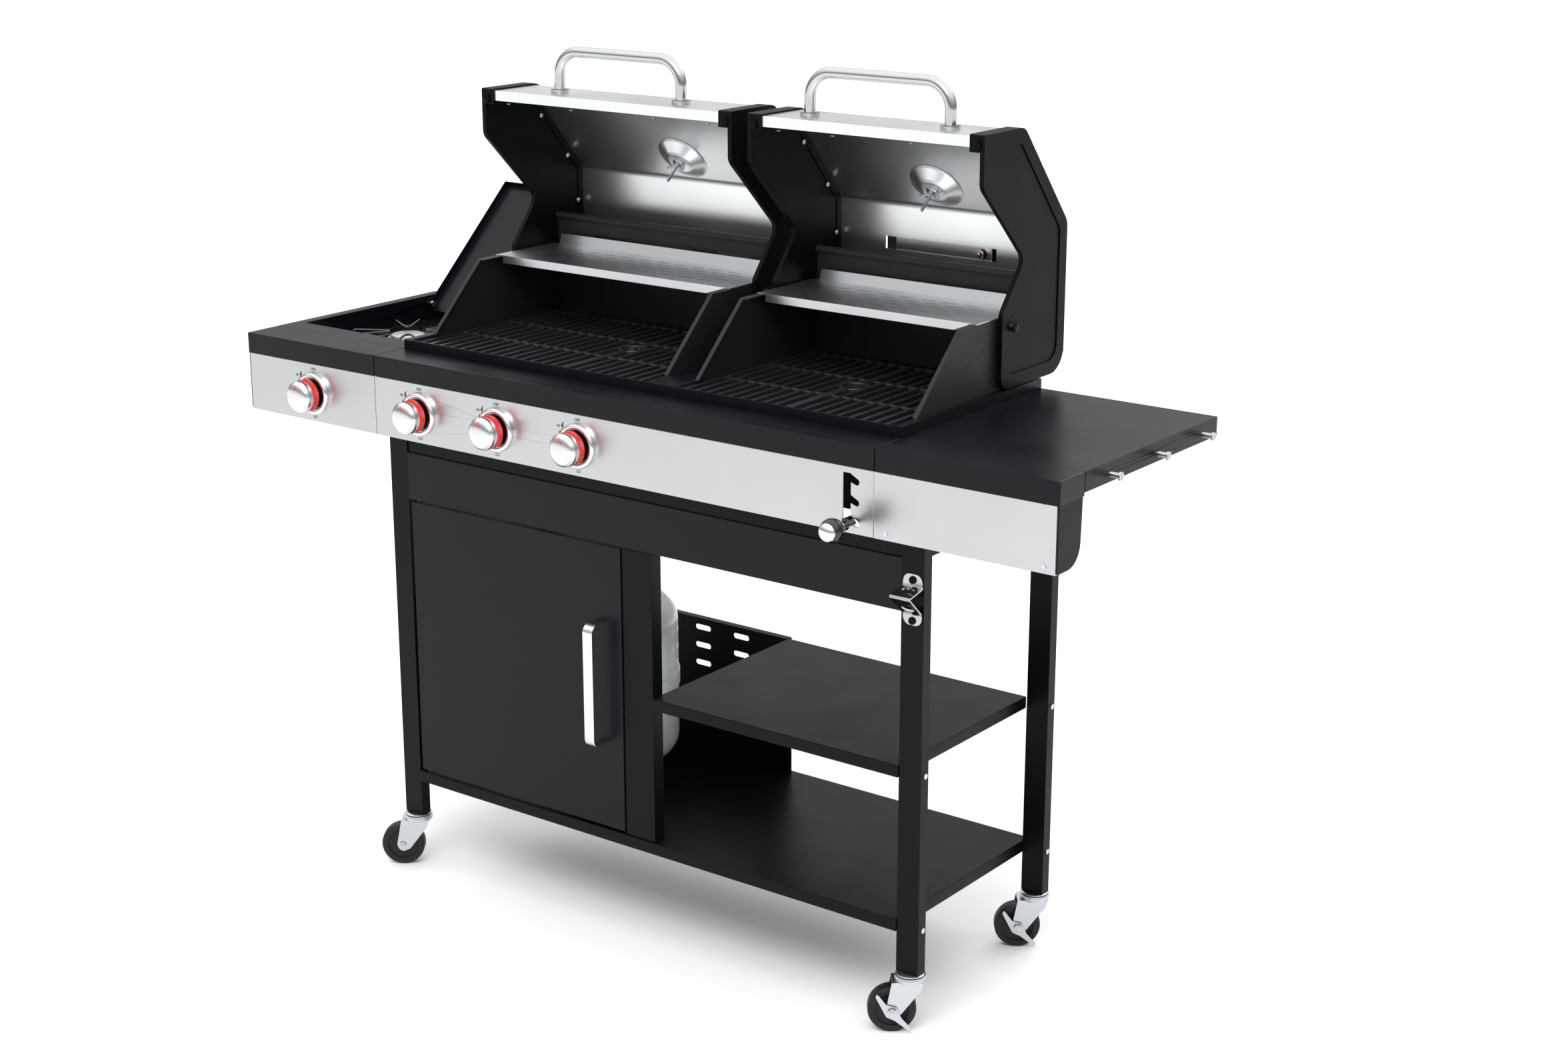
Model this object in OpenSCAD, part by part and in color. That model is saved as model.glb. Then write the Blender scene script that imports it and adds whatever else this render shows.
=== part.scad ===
/* [Overall] */
// Height of the worktop above the floor
top_z = 926; // [880:1:1120]
// Width of the middle section, which carries both fireboxes
main_w = 1026; // [850:1:1240]
// Width of each side module: burner on the left, table on the right
side_w = 312; // [255:1:380]
// Depth of the worktop, from front edge to back edge
body_d = 469; // [440:1:570]
// Width of the gas hood; the charcoal hood takes the rest
gas_hood_w = 545; // [440:1:560]

/* [Sheet metal] */
// Thickness of the folded sheet panels
sheet = 2; // [1.5:0.1:2.4]
// Gap between neighbouring fixed panels
seam = 1; // [0.5:0.1:2]
// Height of the black trim cap along the front
trim_h = 36; // [30:1:44]
// Depth of the trim cap on top
trim_d = 69; // [58:1:82]
// Height of the stainless fascia below the trim
fascia_h = 101; // [90:1:122]
// Drop of the side and back edges of the tops
edge_drop = 31; // [26:1:36]

/* [Cart] */
// Width over the outer faces of the legs
cart_w = 1092; // [950:1:1120]
// Depth over the outer faces of the legs
cart_d = 389; // [325:1:395]
// Set-back of the legs from the front edge and from the left seam
leg_inset = 14; // [8:1:20]
// Width of a leg tube
leg_w = 40; // [33:1:48]
// Depth of a leg tube
leg_d = 20; // [17:1:24]
// Height of the leg ends above the floor
leg_z = 98; // [96:1:110]
// Height of the upper face of the bottom shelf
low_shelf_z = 184; // [160:1:220]
// Height of the upper face of the middle shelf
mid_shelf_z = 437; // [370:1:520]
// Drop of the shelf edges
shelf_drop = 20; // [16:1:24]
// Height of the front apron panel
apron_h = 83; // [70:1:100]
// Width of the fixed pillar beside the door
pillar_w = 60; // [50:1:72]
// Clear width that the door closes
door_gap_w = 474; // [400:1:480]

/* [Fireboxes] */
// Height of the firebox rim above the worktop
rim_h = 16; // [13:1:20]
// Height of the side plates above the rim
plate_h = 114; // [95:1:136]
// Height of the back wall above the rim
back_h = 170; // [145:1:180]
// Depth of the fireboxes below the rim
box_depth = 142; // [118:1:150]
// Gap between the two hoods
hood_gap = 32; // [26:1:40]
// Gap between a hood end and the firebox plate inside it
hood_clear = 3.5; // [3:0.1:5]
// Spacing of the grate bars
bar_pitch = 22.4; // [18.6:0.1:27]
// Width of a grate bar
bar_w = 7; // [5.5:0.5:8.5]

/* [Hoods] */
// Height of a closed hood above the rim
hood_h = 260; // [240:1:310]
// Thickness of the hood end castings
end_t = 8; // [6:0.5:10]
// Width of the flange round each end casting
end_flange = 27; // [22:1:32]
// Height of the hinge above the rim
hinge_up = 100; // [96:1:110]
// Angle that an open hood turns through to close
hood_angle = 90; // [80:1:90]
// Distance between the feet of a hood handle
handle_w = 265; // [220:1:300]
// Height of a hood handle above the hood
handle_out = 68; // [56:1:80]
// Diameter of the handle tube
handle_dia = 19; // [16:0.5:23]
// Diameter of the hinge bolts
bolt_dia = 8; // [7:0.5:10]
// Radial play of each shaft in the part that turns on it
play = 0.05; // [0.02:0.01:0.09]

/* [Side burner] */
// Depth of the burner well
well_depth = 46; // [40:1:54]
// Opening angle of the burner lid
lid_angle = 137; // [110:1:140]

/* [Controls] */
// Diameter of a control knob
knob_dia = 55; // [46:1:60]
// How far a knob stands out of the fascia
knob_out = 47; // [40:1:56]
// Outer diameter of the chrome ring round a knob
bezel_dia = 74; // [68:1:84]
// Spacing of the three burner knobs
knob_pitch = 175; // [146:1:180]
// Diameter of the ball on the charcoal lever
ball_dia = 38; // [32:1:45]
// Height between the notches of the charcoal slot
notch_pitch = 32; // [27:1:34]

/* [Casters] */
// Diameter of a caster wheel
wheel_dia = 76; // [64:1:78]
// Width of a caster wheel
wheel_w = 24; // [20:1:28]
// Distance from the swivel axis to the wheel axle
trail = 28; // [24:1:33]
// Direction in which the casters trail, round the vertical axis
caster_turn = 36.5; // [0:0.5:90]

/* [Gas cylinder] */
// Diameter of the gas cylinder
cyl_dia = 230; // [192:1:276]
// Height of the straight wall of the cylinder
cyl_wall_h = 205; // [172:1:246]

/* [Hidden] */
$fn = 48;

black = [0.10, 0.10, 0.11];
dark = [0.20, 0.20, 0.21];
steel = [0.80, 0.80, 0.80];
bright = [0.88, 0.88, 0.90];
zinc = [0.75, 0.76, 0.78];
iron = [0.16, 0.16, 0.17];
red = [0.75, 0.08, 0.08];
grey = [0.70, 0.71, 0.72];

// ---- places, measured from the left front corner of the worktop ----
total_w = main_w + 2 * side_w;
main_x = side_w;
table_x = side_w + main_w;
fascia_z = top_z - trim_h - fascia_h;
rim_z = top_z + rim_h;
rim_y = trim_d + 2;

leg_y = leg_inset + 1;
leg_x = [side_w + leg_inset + 1, side_w + leg_inset + 1 + cart_w - leg_w];
leg_back_y = leg_y + cart_d - leg_d;
inner_x0 = leg_x[0] + leg_w;
inner_x1 = leg_x[1];
rail_h = 26;
rail_z = fascia_z - rail_h;
apron_z = rail_z - apron_h;
door_play = 2.5;
door_x = inner_x0 + 8;
door_x1 = inner_x0 + door_gap_w - door_play;
door_z = low_shelf_z + 5;
door_z1 = apron_z - door_play;
door_pan = 16;
pillar_x = inner_x0 + door_gap_w;
pillar_d = 25;
shelf_y = leg_y - 3;
shelf_back = leg_back_y - seam;

// fireboxes and hoods, left to right
deck_x = main_x + 3;
gas_hood = [deck_x, deck_x + gas_hood_w];
coal_hood = [deck_x + gas_hood_w + hood_gap, table_x];
function box_of(hood) = [hood[0] + end_t + hood_clear, hood[1] - end_t - hood_clear];
gas_box = box_of(gas_hood);
coal_box = box_of(coal_hood);
box_y = rim_y + sheet;
box_back = body_d - 8;
box_z = min(rim_z - box_depth, fascia_z + 11);
plate_foot_y = rim_y + 56;
plate_top_y = plate_foot_y + plate_h * 1.04;
plate_z = rim_z + plate_h;
back_z = rim_z + back_h;
plate_lip = 14;
grate_z = rim_z - 5;
grate_t = 12;
rack_y = plate_top_y + 46;
rack_back = box_back - 18;
rack_t = 1.5;

// hood outline, closed; the back edge of an open hood stops just above the rim
hood_y = rim_y - 2;
hood_z = rim_z + 7;
hood_back = body_d + 4;
hood_top = rim_z + hood_h;
open_gap = 2;
hinge_y = hood_back - (hinge_up - open_gap);
hinge_z = rim_z + hinge_up;
front_panel_h = 116;
slope_run = 162;
HOOD = [[hood_y, hood_z, 3], [hood_y, hood_z + front_panel_h, 22],
        [hood_y + slope_run, hood_top, 25], [hood_back, hood_top, 40],
        [hood_back, hood_z + 64, 20], [plate_top_y + 106, hood_z + 64, 12],
        [plate_top_y + 28, plate_z + 19, 18], [plate_foot_y + 23, hood_z, 22]];
flange_t = 3;
skin_t = 1.5;
skin_lip = 20;
slope_len = norm([slope_run, hood_top - hood_z - front_panel_h]);
slope_tilt = atan2(hood_top - hood_z - front_panel_h, slope_run);
gauge_at = 0.72 * slope_len;
gauge_hole = 92;
gauge_floor = 46;
gauge_depth = 13;
stem_dia = 8;
vent_l = 218;
vent_w = 21;
vent_y = hood_y + 221;

// side burner
well_margin = 20;
well_x = [well_margin, side_w - well_margin];
well_y = trim_d + 49;
well_back = body_d - 21;
well_z = top_z - well_depth;
lid_gap = 3;
lid_t = 1.5;
lid_pan = 13;
lid_hinge_y = well_back - 19;
lid_hinge_z = top_z - 14;
lid_front = well_y + 12;
burner_x = side_w / 2;
burner_y = (well_y + well_back) / 2 - 45;

// controls
knob_z = fascia_z + fascia_h / 2;
knob_x = [side_w * 0.525, main_x + 105, main_x + 105 + knob_pitch, main_x + 105 + 2 * knob_pitch];
burner_tube_x = [for (i = [-1:1]) (gas_box[0] + gas_box[1]) / 2 + i * (gas_box[1] - gas_box[0]) / 3];
burner_z = rim_z - 92;
slot_x = table_x - 48;
slot_w = 14;
slot_z = fascia_z + 15;
notch_r = 4;
notch_l = 17;
lever_r = 4;
lever_z = slot_z + 4.6;
ball_y = -60;
ball_shift = 16;
arm_y = -6.2;

// grease tray, under the gas firebox
grease_x = [inner_x0 + 30, pillar_x - 4];

// cylinder
cyl_x = pillar_x - 69 - cyl_dia / 2;
cyl_y = leg_y + cart_d / 2 - 10;
dome_h = 66;
foot_h = 34;
cyl_z = low_shelf_z + foot_h + dome_h * 0.78;

// casters
axle_z = wheel_dia / 2;
axle_r = 4;
stem_r = 5.5;
cheek_in = wheel_w / 2 + 3;
cheek_t = 2.5;
caster_x = [for (x = leg_x) x + leg_w / 2];
caster_y = [leg_y + leg_d / 2, leg_back_y + leg_d / 2];

// pegs stand out of the right edge
peg_len = 25;
peg_z = top_z - 16;

// the footprint box is centred on the origin
lid_len = lid_hinge_y - lid_front;
lid_open = 180 - lid_angle;
lid_rear = lid_hinge_y + lid_len * cos(lid_open) + (top_z - 1 - lid_hinge_z) * sin(lid_open);
open_top = hinge_z - (hood_y - hinge_y);
x_mid = (total_w + peg_len) / 2;
y_mid = (ball_y - ball_dia / 2 + lid_rear) / 2;

// ---- helpers ----
module place() {
    translate([-x_mid, -y_mid, 0]) children();
}

// box from a low corner to a high corner
module span(a, b) {
    translate(a) cube(b - a);
}

// outline drawn in the Y-Z plane and extruded along X
module along_x(x0, x1) {
    translate([x0, 0, 0]) rotate([90, 0, 90]) linear_extrude(x1 - x0) children();
}

// outline drawn in the X-Z plane and extruded from y0 back to y1
module along_y(y0, y1) {
    translate([0, y1, 0]) rotate([90, 0, 0]) linear_extrude(y1 - y0) children();
}

module rod_x(x0, x1, y, z, r) {
    translate([x0, y, z]) rotate([0, 90, 0]) cylinder(h = x1 - x0, r = r);
}

module rod_y(y0, y1, x, z, r) {
    translate([x, y0, z]) rotate([-90, 0, 0]) cylinder(h = y1 - y0, r = r);
}

module rod_z(z0, z1, x, y, r) {
    translate([x, y, z0]) cylinder(h = z1 - z0, r = r);
}

function unit(v) = v / norm(v);
function xy(p) = [p[0], p[1]];
// one rounded corner between the neighbours a and c of the point b
function corner(a, b, c) =
    let (u = unit(xy(a) - xy(b)), v = unit(xy(c) - xy(b)),
         half = acos(max(-1, min(1, u * v))) / 2,
         r = b[2],
         centre = xy(b) + unit(u + v) * r / sin(half),
         p = xy(b) + u * r / tan(half),
         q = xy(b) + v * r / tan(half),
         a0 = atan2(p[1] - centre[1], p[0] - centre[0]),
         a1 = atan2(q[1] - centre[1], q[0] - centre[0]),
         sweep = (a1 - a0) - 360 * round((a1 - a0) / 360),
         n = 6)
    r < 0.01 || half > 89.5 ? [xy(b)]
        : [for (i = [0:n]) centre + r * [cos(a0 + sweep * i / n), sin(a0 + sweep * i / n)]];
function rounded(p) = let (n = len(p))
    [for (i = [0:n - 1]) for (q = corner(p[(i + n - 1) % n], p[i], p[(i + 1) % n])) q];
// the same for an open line, whose two ends stay where they are
function rounded_line(p) = let (n = len(p))
    concat([xy(p[0])],
           [for (i = [1:n - 2]) for (q = corner(p[i - 1], p[i], p[i + 1])) q],
           [xy(p[n - 1])]);
// a line moved sideways by d, with its corner radii kept concentric
function left_of(v) = [-v[1], v[0]];
function moved(p, d) = let (n = len(p))
    [for (i = [0:n - 1])
        let (u = i == 0 ? unit(xy(p[1]) - xy(p[0])) : unit(xy(p[i]) - xy(p[i - 1])),
             v = i == n - 1 ? u : unit(xy(p[i + 1]) - xy(p[i])),
             a = left_of(u), b = left_of(v),
             q = xy(p[i]) + d * (a + b) / (1 + a * b),
             turn = u[0] * v[1] - u[1] * v[0],
             r = max(0, (p[i][2] == undef ? 0 : p[i][2]) - sign(turn) * d))
        [q[0], q[1], r]];
// a strip of thickness t to the left of an open line
function strip(p, t) =
    let (inner = rounded_line(moved(p, t)), n = len(inner))
    concat(rounded_line(p), [for (i = [0:n - 1]) inner[n - 1 - i]]);

module tray_down(x0, x1, y0, y1, z, t, drop) {
    difference() {
        span([x0, y0, z - drop], [x1, y1, z]);
        span([x0 + t, y0 + t, z - drop - 1], [x1 - t, y1 - t, z - t]);
    }
}

// open box with its floor at z0
module tub(x0, x1, y0, y1, z0, z1, t) {
    difference() {
        span([x0, y0, z0], [x1, y1, z1]);
        span([x0 + t, y0 + t, z0 + t], [x1 - t, y1 - t, z1 + 1]);
    }
}

module pill(l, w, h) {
    translate([-(l - w) / 2, -w / 2, 0]) cube([l - w, w, h]);
    for (s = [-1, 1]) translate([s * (l - w) / 2, 0, 0]) cylinder(h = h, d = w);
}

// ---- cart ----
module legs() place() color(dark) {
    for (x = leg_x, y = [leg_y, leg_back_y]) difference() {
        span([x, y, leg_z], [x + leg_w, y + leg_d, fascia_z]);
        span([x + sheet, y + sheet, leg_z + 34], [x + leg_w - sheet, y + leg_d - sheet, fascia_z - sheet]);
        rod_z(leg_z - 1, leg_z + 32, x + leg_w / 2, y + leg_d / 2, stem_r);
    }
}

module cart_rails() place() color(black) {
    y0 = leg_y + 3;
    for (y = [y0, leg_back_y + 1]) difference() {
        span([inner_x0, y, rail_z], [inner_x1, y + 16, fascia_z]);
        span([inner_x0 + 4, y + sheet, rail_z + sheet], [inner_x1 - 4, y + 16 - sheet, fascia_z - sheet]);
    }
    for (x = [leg_x[0] + 8, leg_x[1] + 8]) difference() {
        span([x, leg_y + leg_d, rail_z], [x + 24, leg_back_y, fascia_z]);
        span([x + sheet, leg_y + leg_d + 4, rail_z + sheet],
             [x + 24 - sheet, leg_back_y - 4, fascia_z - sheet]);
    }
    // runners that carry the grease tray
    for (s = [0, 1]) {
        x = grease_x[s];
        y1 = leg_back_y + 16;
        span([s == 0 ? x - 3 : x + 1, y0 + 15.2, rail_z - 26], [s == 0 ? x - 1 : x + 3, y1, rail_z + 10]);
        span([s == 0 ? x - 3 : x - 7, y0 + 15.2, rail_z - 26], [s == 0 ? x + 7 : x + 3, y1, rail_z - 24]);
    }
}

module apron_panel() place() color(black) {
    difference() {
        span([inner_x0, leg_y, apron_z], [inner_x1, leg_y + 18, rail_z]);
        span([inner_x0 - 1, leg_y + sheet, apron_z + sheet], [inner_x1 + 1, leg_y + 19, rail_z - sheet]);
    }
}

module pillar_panel() place() color(black) {
    difference() {
        span([pillar_x, leg_y, low_shelf_z], [pillar_x + pillar_w, leg_y + pillar_d, apron_z]);
        span([pillar_x + sheet, leg_y + sheet, low_shelf_z - 1],
             [pillar_x + pillar_w - sheet, leg_y + pillar_d + 1, apron_z + 1]);
    }
}

module bottom_shelf() place() color(black) {
    tray_down(inner_x0, inner_x1, shelf_y, shelf_back + leg_d, low_shelf_z, sheet, shelf_drop);
}

module mid_shelf() place() color(black) {
    tray_down(pillar_x + pillar_w, inner_x1, shelf_y, shelf_back, mid_shelf_z, sheet, shelf_drop);
}

vent_cols = 5;
vent_rows = 3;
module rear_panel() place() color(black) {
    y = leg_back_y + 6;
    x1 = pillar_x + pillar_w;
    difference() {
        union() {
            span([inner_x0, y, low_shelf_z], [x1, y + sheet, mid_shelf_z]);
            span([inner_x0, y - 12, mid_shelf_z - sheet], [x1, y + sheet, mid_shelf_z]);
        }
        for (i = [0:vent_cols - 1], j = [0:vent_rows - 1])
            translate([pillar_x - 49 - i * 85, y + sheet + 1, mid_shelf_z - 22 - j * 33])
                rotate([90, 0, 0]) pill(34, 10, sheet + 2);
    }
}

module frame_screws() place() color(zinc) {
    x = leg_x[1] + leg_w;
    for (y = caster_y, z = [low_shelf_z - 12, mid_shelf_z - 12])
        rod_x(x, x + 2.4, y, z, 4.5);
    for (y = caster_y)
        rod_x(leg_x[0] - 2.4, leg_x[0], y, low_shelf_z - 12, 4.5);
    for (i = [0:1])
        rod_y(leg_y - sheet - 2.4, leg_y - sheet, opener_x, opener_z + [11, -52][i], 5);
    for (x = [table_x + 22, total_w - 22])
        rod_y(-1.6, 0, x, fascia_z + 10, 3);
}

// ---- tops and fascia ----
module cap(x0, x1) {
    difference() {
        span([x0, 0, top_z - trim_h], [x1, trim_d, top_z]);
        span([x0 + sheet, sheet, top_z - trim_h - 1], [x1 - sheet, trim_d + 1, top_z - sheet]);
    }
}

module front_trim() place() color(dark) {
    cap(0, main_x - seam / 2);
    cap(main_x + seam / 2, table_x - seam / 2);
    cap(table_x + seam / 2, total_w);
}

module side_burner_top() place() color(dark) {
    x1 = main_x - seam / 2;
    difference() {
        union() {
            tray_down(0, x1, trim_d + seam / 2, body_d, top_z, sheet, edge_drop);
            span([well_x[0] - sheet, well_y - sheet, well_z - sheet],
                 [well_x[1] + sheet, well_back + sheet, top_z]);
            span([well_x[0] - sheet, well_back, lid_hinge_z - 7],
                 [well_x[1] + sheet, body_d, lid_hinge_z - 5]);
        }
        span([well_x[0], well_y, well_z], [well_x[1], well_back, top_z + 1]);
        // lowered back edge that the open lid leans over
        span([well_x[0], well_back - 1, lid_hinge_z - 5], [well_x[1], body_d + 1, top_z + 1]);
        rod_z(well_z - sheet - 1, well_z + 1, burner_x, burner_y, 30);
        rod_x(well_x[0] - sheet - 1, well_x[1] + sheet + 1, lid_hinge_y, lid_hinge_z, 3);
    }
}

module side_table_top() place() color(dark) {
    difference() {
        tray_down(table_x + seam / 2, total_w, trim_d + seam / 2, body_d, top_z, sheet, edge_drop);
        for (y = peg_y()) rod_x(total_w - sheet - 1, total_w + 1, y, peg_z, 2.5);
    }
}

function peg_y() = [for (i = [0:2]) body_d * 0.273 + i * body_d * 0.301];

module tool_pegs() place() color(bright) {
    for (y = peg_y()) {
        rod_x(total_w - sheet - 4, total_w, y, peg_z, 2.5);
        rod_x(total_w, total_w + peg_len - 3, y, peg_z, 4.5);
        rod_x(total_w + peg_len - 3, total_w + peg_len, y, peg_z, 6.5);
    }
}

// one folded fascia panel: front sheet with a return along its lower edge
module fascia(x0, x1) {
    span([x0, 0, fascia_z], [x1, sheet, top_z - trim_h]);
    span([x0, sheet, fascia_z], [x1, leg_y - 1, fascia_z + sheet]);
}

module fascias() place() color(steel) {
    difference() {
        union() {
            fascia(4, main_x - seam / 2);
            fascia(main_x + seam / 2, table_x - seam / 2);
            fascia(table_x + seam / 2, total_w - 4);
        }
        for (x = knob_x) rod_y(-1, sheet + 1, x, knob_z, 7);
        lever_slot();
    }
}

// slot of the charcoal lever: a channel with three notches that slope down to the right
module lever_slot() {
    span([slot_x - slot_w / 2, -1, slot_z], [slot_x + slot_w / 2, sheet + 1, slot_z + 2 * notch_pitch + 13]);
    for (i = [0:2]) translate([slot_x, 0, slot_z + 1 + i * notch_pitch]) {
        along_y(-1, sheet + 1) polygon([[0, 11], [slot_w / 2, 11], [notch_l + 1.7, 4.7], [notch_l, 0],
                                        [notch_l - 1.7, -4.7], [slot_w / 2 - 0.5, -1.5], [0, -0.5]]);
        rod_y(-1, sheet + 1, notch_l, 0, notch_r + 1);
    }
}

BRACKET = [[1, fascia_z + 1, 3], [1, top_z - trim_h, 0], [trim_d - 3, top_z - trim_h, 0],
           [trim_d - 7, fascia_z + 1, 34]];
module side_brackets() place() color(dark) {
    for (x = [1, total_w - 3]) along_x(x, x + sheet) polygon(rounded(BRACKET));
}

module knob_bezels() place() color(bright) {
    for (x = knob_x) translate([x, 0, knob_z]) rotate([90, 0, 0]) rotate_extrude() {
        translate([bezel_dia / 2 - 5, 5]) circle(r = 5, $fn = 24);
        translate([bezel_dia / 2 - 9, 0]) square([8, 4]);
        translate([8, 0]) square([bezel_dia / 2 - 16, 2]);
    }
}

// ---- fireboxes ----
module base_frame() place() color(black) {
    x0 = deck_x;
    x1 = table_x;
    difference() {
        span([x0, rim_y, top_z - 1], [x1, body_d, rim_z]);
        span([x0 + sheet, rim_y + sheet, top_z - 2], [x1 - sheet, body_d - sheet, rim_z - sheet]);
        for (b = [gas_box, coal_box])
            span([b[0], box_y, rim_z - sheet - 1], [b[1], box_back, rim_z + 1]);
    }
    // side and back walls that stand on the legs
    difference() {
        union() {
            for (s = [0, 1]) {
                x = s == 0 ? x0 : x1 - sheet;
                span([x, leg_y + 1, fascia_z], [x + sheet, body_d, top_z - trim_h]);
                span([x, rim_y, fascia_z], [x + sheet, body_d, top_z]);
                span([s == 0 ? x0 : inner_x1, leg_y + 1, fascia_z],
                     [s == 0 ? inner_x0 : x1, body_d, fascia_z + sheet]);
            }
            span([x0, body_d - sheet, fascia_z], [x1, body_d, top_z]);
        }
        rod_x(x0 - 1, x0 + sheet + 1, pipe_y, knob_z, 12);
    }
}

PLATE = [[box_y, box_z, 0], [box_y, rim_z, 0], [plate_foot_y, rim_z, 0], [plate_top_y, plate_z, 0],
         [box_back, plate_z, 0], [box_back, box_z, 0]];
module firebox(b) {
    difference() {
        union() {
            for (x = [b[0], b[1] - sheet]) along_x(x, x + sheet) polygon([for (p = PLATE) xy(p)]);
            span([b[0], box_y, box_z], [b[1], box_back, box_z + sheet]);
            span([b[0], box_y, box_z], [b[1], box_y + sheet, rim_z]);
            span([b[0], box_back - sheet, box_z], [b[1], box_back, back_z]);
            // folded edges of the plates and of the back wall
            for (s = [0, 1]) {
                x0 = s == 0 ? b[0] : b[1] - 8;
                x1 = s == 0 ? b[0] + plate_lip : b[1];
                along_x(x0, x0 + 8) polygon(strip([[plate_top_y, plate_z], [plate_foot_y, rim_z]], sheet));
                span([s == 0 ? b[0] : b[1] - plate_lip, plate_top_y, plate_z - sheet],
                     [x1, box_back, plate_z]);
            }
            along_x(b[0], b[1]) polygon(strip([[box_back - 9, back_z - 9], [box_back - 9, back_z, 5],
                                               [box_back, back_z, 0], [box_back, back_z - 12]], -sheet));
            // ledges that carry the grates
            for (y = [box_y + sheet, box_back - sheet - 8])
                span([b[0] + sheet, y, grate_z - grate_t - sheet], [b[1] - sheet, y + 8, grate_z - grate_t]);
        }
        rod_x(b[0] - 1, b[1] + 1, hinge_y, hinge_z, bolt_dia / 2);
        children();
    }
}

module wall_slots(b, w, pitch) {
    cx = (b[0] + b[1]) / 2;
    for (i = [-1:1]) translate([cx + i * pitch, box_back + 1, back_z - 43])
        rotate([90, 0, 0]) pill(w, 18, sheet + 2);
}

drain_x = (gas_box[0] + gas_box[1]) / 2;
drain_y = (box_y + box_back) / 2;
module firebox_gas() place() color(black) {
    firebox(gas_box) {
        wall_slots(gas_box, 80, (gas_box[1] - gas_box[0]) * 0.265);
        for (x = burner_tube_x) rod_y(box_y - 1, box_y + sheet + 1, x, burner_z, 8.5);
        span([drain_x - 40, drain_y - 30, box_z - 1], [drain_x + 40, drain_y + 30, box_z + sheet + 1]);
    }
}

module firebox_charcoal() place() color(black) {
    firebox(coal_box) {
        span([slot_x - slot_w / 2, box_y - 1, slot_z],
             [slot_x + slot_w / 2, box_y + sheet + 1, slot_z + 2 * notch_pitch + 13]);
    }
}

cross_rows = 3;
hole_r = 19;
// one part of a grate: bars from front to back over cross ties
module grate_part(x0, x1) {
    y0 = box_y + sheet + 1;
    y1 = box_back - sheet - 1;
    n = round((x1 - x0 - bar_w) / bar_pitch);
    step = (x1 - x0 - bar_w) / n;
    for (i = [0:n]) span([x0 + i * step, y0, grate_z - grate_t], [x0 + i * step + bar_w, y1, grate_z]);
    for (j = [0:cross_rows]) {
        y = y0 + j * (y1 - y0 - 30) / cross_rows;
        span([x0, y, grate_z - grate_t], [x1, y + 8, grate_z - 1]);
    }
}

// two parts with a finger hole across the joint; share is the part of the width left of it
module grate(b, share) {
    mid = b[0] + share * (b[1] - b[0]);
    difference() {
        union() {
            grate_part(b[0] + sheet + 3, mid - 0.4);
            grate_part(mid + 0.4, b[1] - sheet - 3);
            translate([mid, (box_y + box_back) / 2, grate_z - grate_t]) cylinder(h = grate_t, r = hole_r + 7);
        }
        translate([mid, (box_y + box_back) / 2, grate_z - grate_t - 1]) cylinder(h = grate_t + 2, r = hole_r);
        span([mid - 0.4, box_y, grate_z - grate_t - 1], [mid + 0.4, box_back, grate_z + 1]);
    }
}

module grate_gas() place() color(iron) grate(gas_box, 0.637);
module grate_charcoal() place() color(iron) grate(coal_box, 0.5);

slot_rows = 5;
module rack(b) {
    x0 = b[0] + 1;
    x1 = b[1] - 1;
    inset = plate_lip + 2;
    n = floor((x1 - x0 - 90) / 38);
    difference() {
        union() {
            span([x0, rack_y, plate_z], [x1, rack_back, plate_z + rack_t]);
            span([x0 + inset, rack_y, plate_z - 12], [x1 - inset, rack_y + rack_t, plate_z]);
            along_x(x0 + inset, x1 - inset)
                polygon([[rack_back - rack_t, plate_z], [rack_back, plate_z], [rack_back + 6, plate_z + 19],
                         [rack_back + 6 - rack_t, plate_z + 19]]);
        }
        for (j = [0:slot_rows - 1], i = [0:n - 1])
            translate([x0 + 50 + (i + (j % 2) / 2) * (x1 - x0 - 90) / n, rack_y + 34 + j * 20, plate_z - 1])
                pill(27, 3, rack_t + 2, $fn = 16);
    }
}

module rack_gas() place() color(steel) rack(gas_box);
module rack_charcoal() place() color(steel) rack(coal_box);

module burner_tubes() place() color(steel) {
    for (x = burner_tube_x) {
        rod_y(box_y + sheet + 12, box_back - 40, x, burner_z, 14);
        rod_y(box_y - 8, box_y + sheet + 12, x, burner_z, 8.5);
        span([x - 12, box_back - 40, burner_z - 2], [x + 12, box_back - sheet, burner_z + 2]);
    }
}

module heat_tents() place() color(steel) {
    for (x = burner_tube_x) along_y(box_y + sheet, box_back - sheet)
        polygon([[x - 44, burner_z + 20], [x, burner_z + 52], [x + 44, burner_z + 20],
                 [x + 41, burner_z + 20], [x, burner_z + 49.6], [x - 41, burner_z + 20]]);
}

module charcoal_tray() place() color(black) {
    b = [coal_box[0] + sheet + 6, coal_box[1] - sheet - 6];
    z = tray_z;
    y0 = box_y + sheet + 6;
    difference() {
        tub(b[0], b[1], y0, box_back - sheet - 12, z, z + 22, sheet);
        for (i = [0:8], j = [0:3])
            span([b[0] + 26 + i * (b[1] - b[0] - 60) / 8, y0 + 24 + j * 84, z - 1],
                 [b[0] + 34 + i * (b[1] - b[0] - 60) / 8, y0 + 74 + j * 84, z + sheet + 1]);
    }
    // lug that the lever is fixed in
    difference() {
        span([slot_x - 12, y0 - 5, lever_z - 6.2], [slot_x + 12, y0 + 0.5, z + 6]);
        rod_y(y0 - 6, y0 + 1, slot_x, lever_z, lever_r);
    }
}

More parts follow.
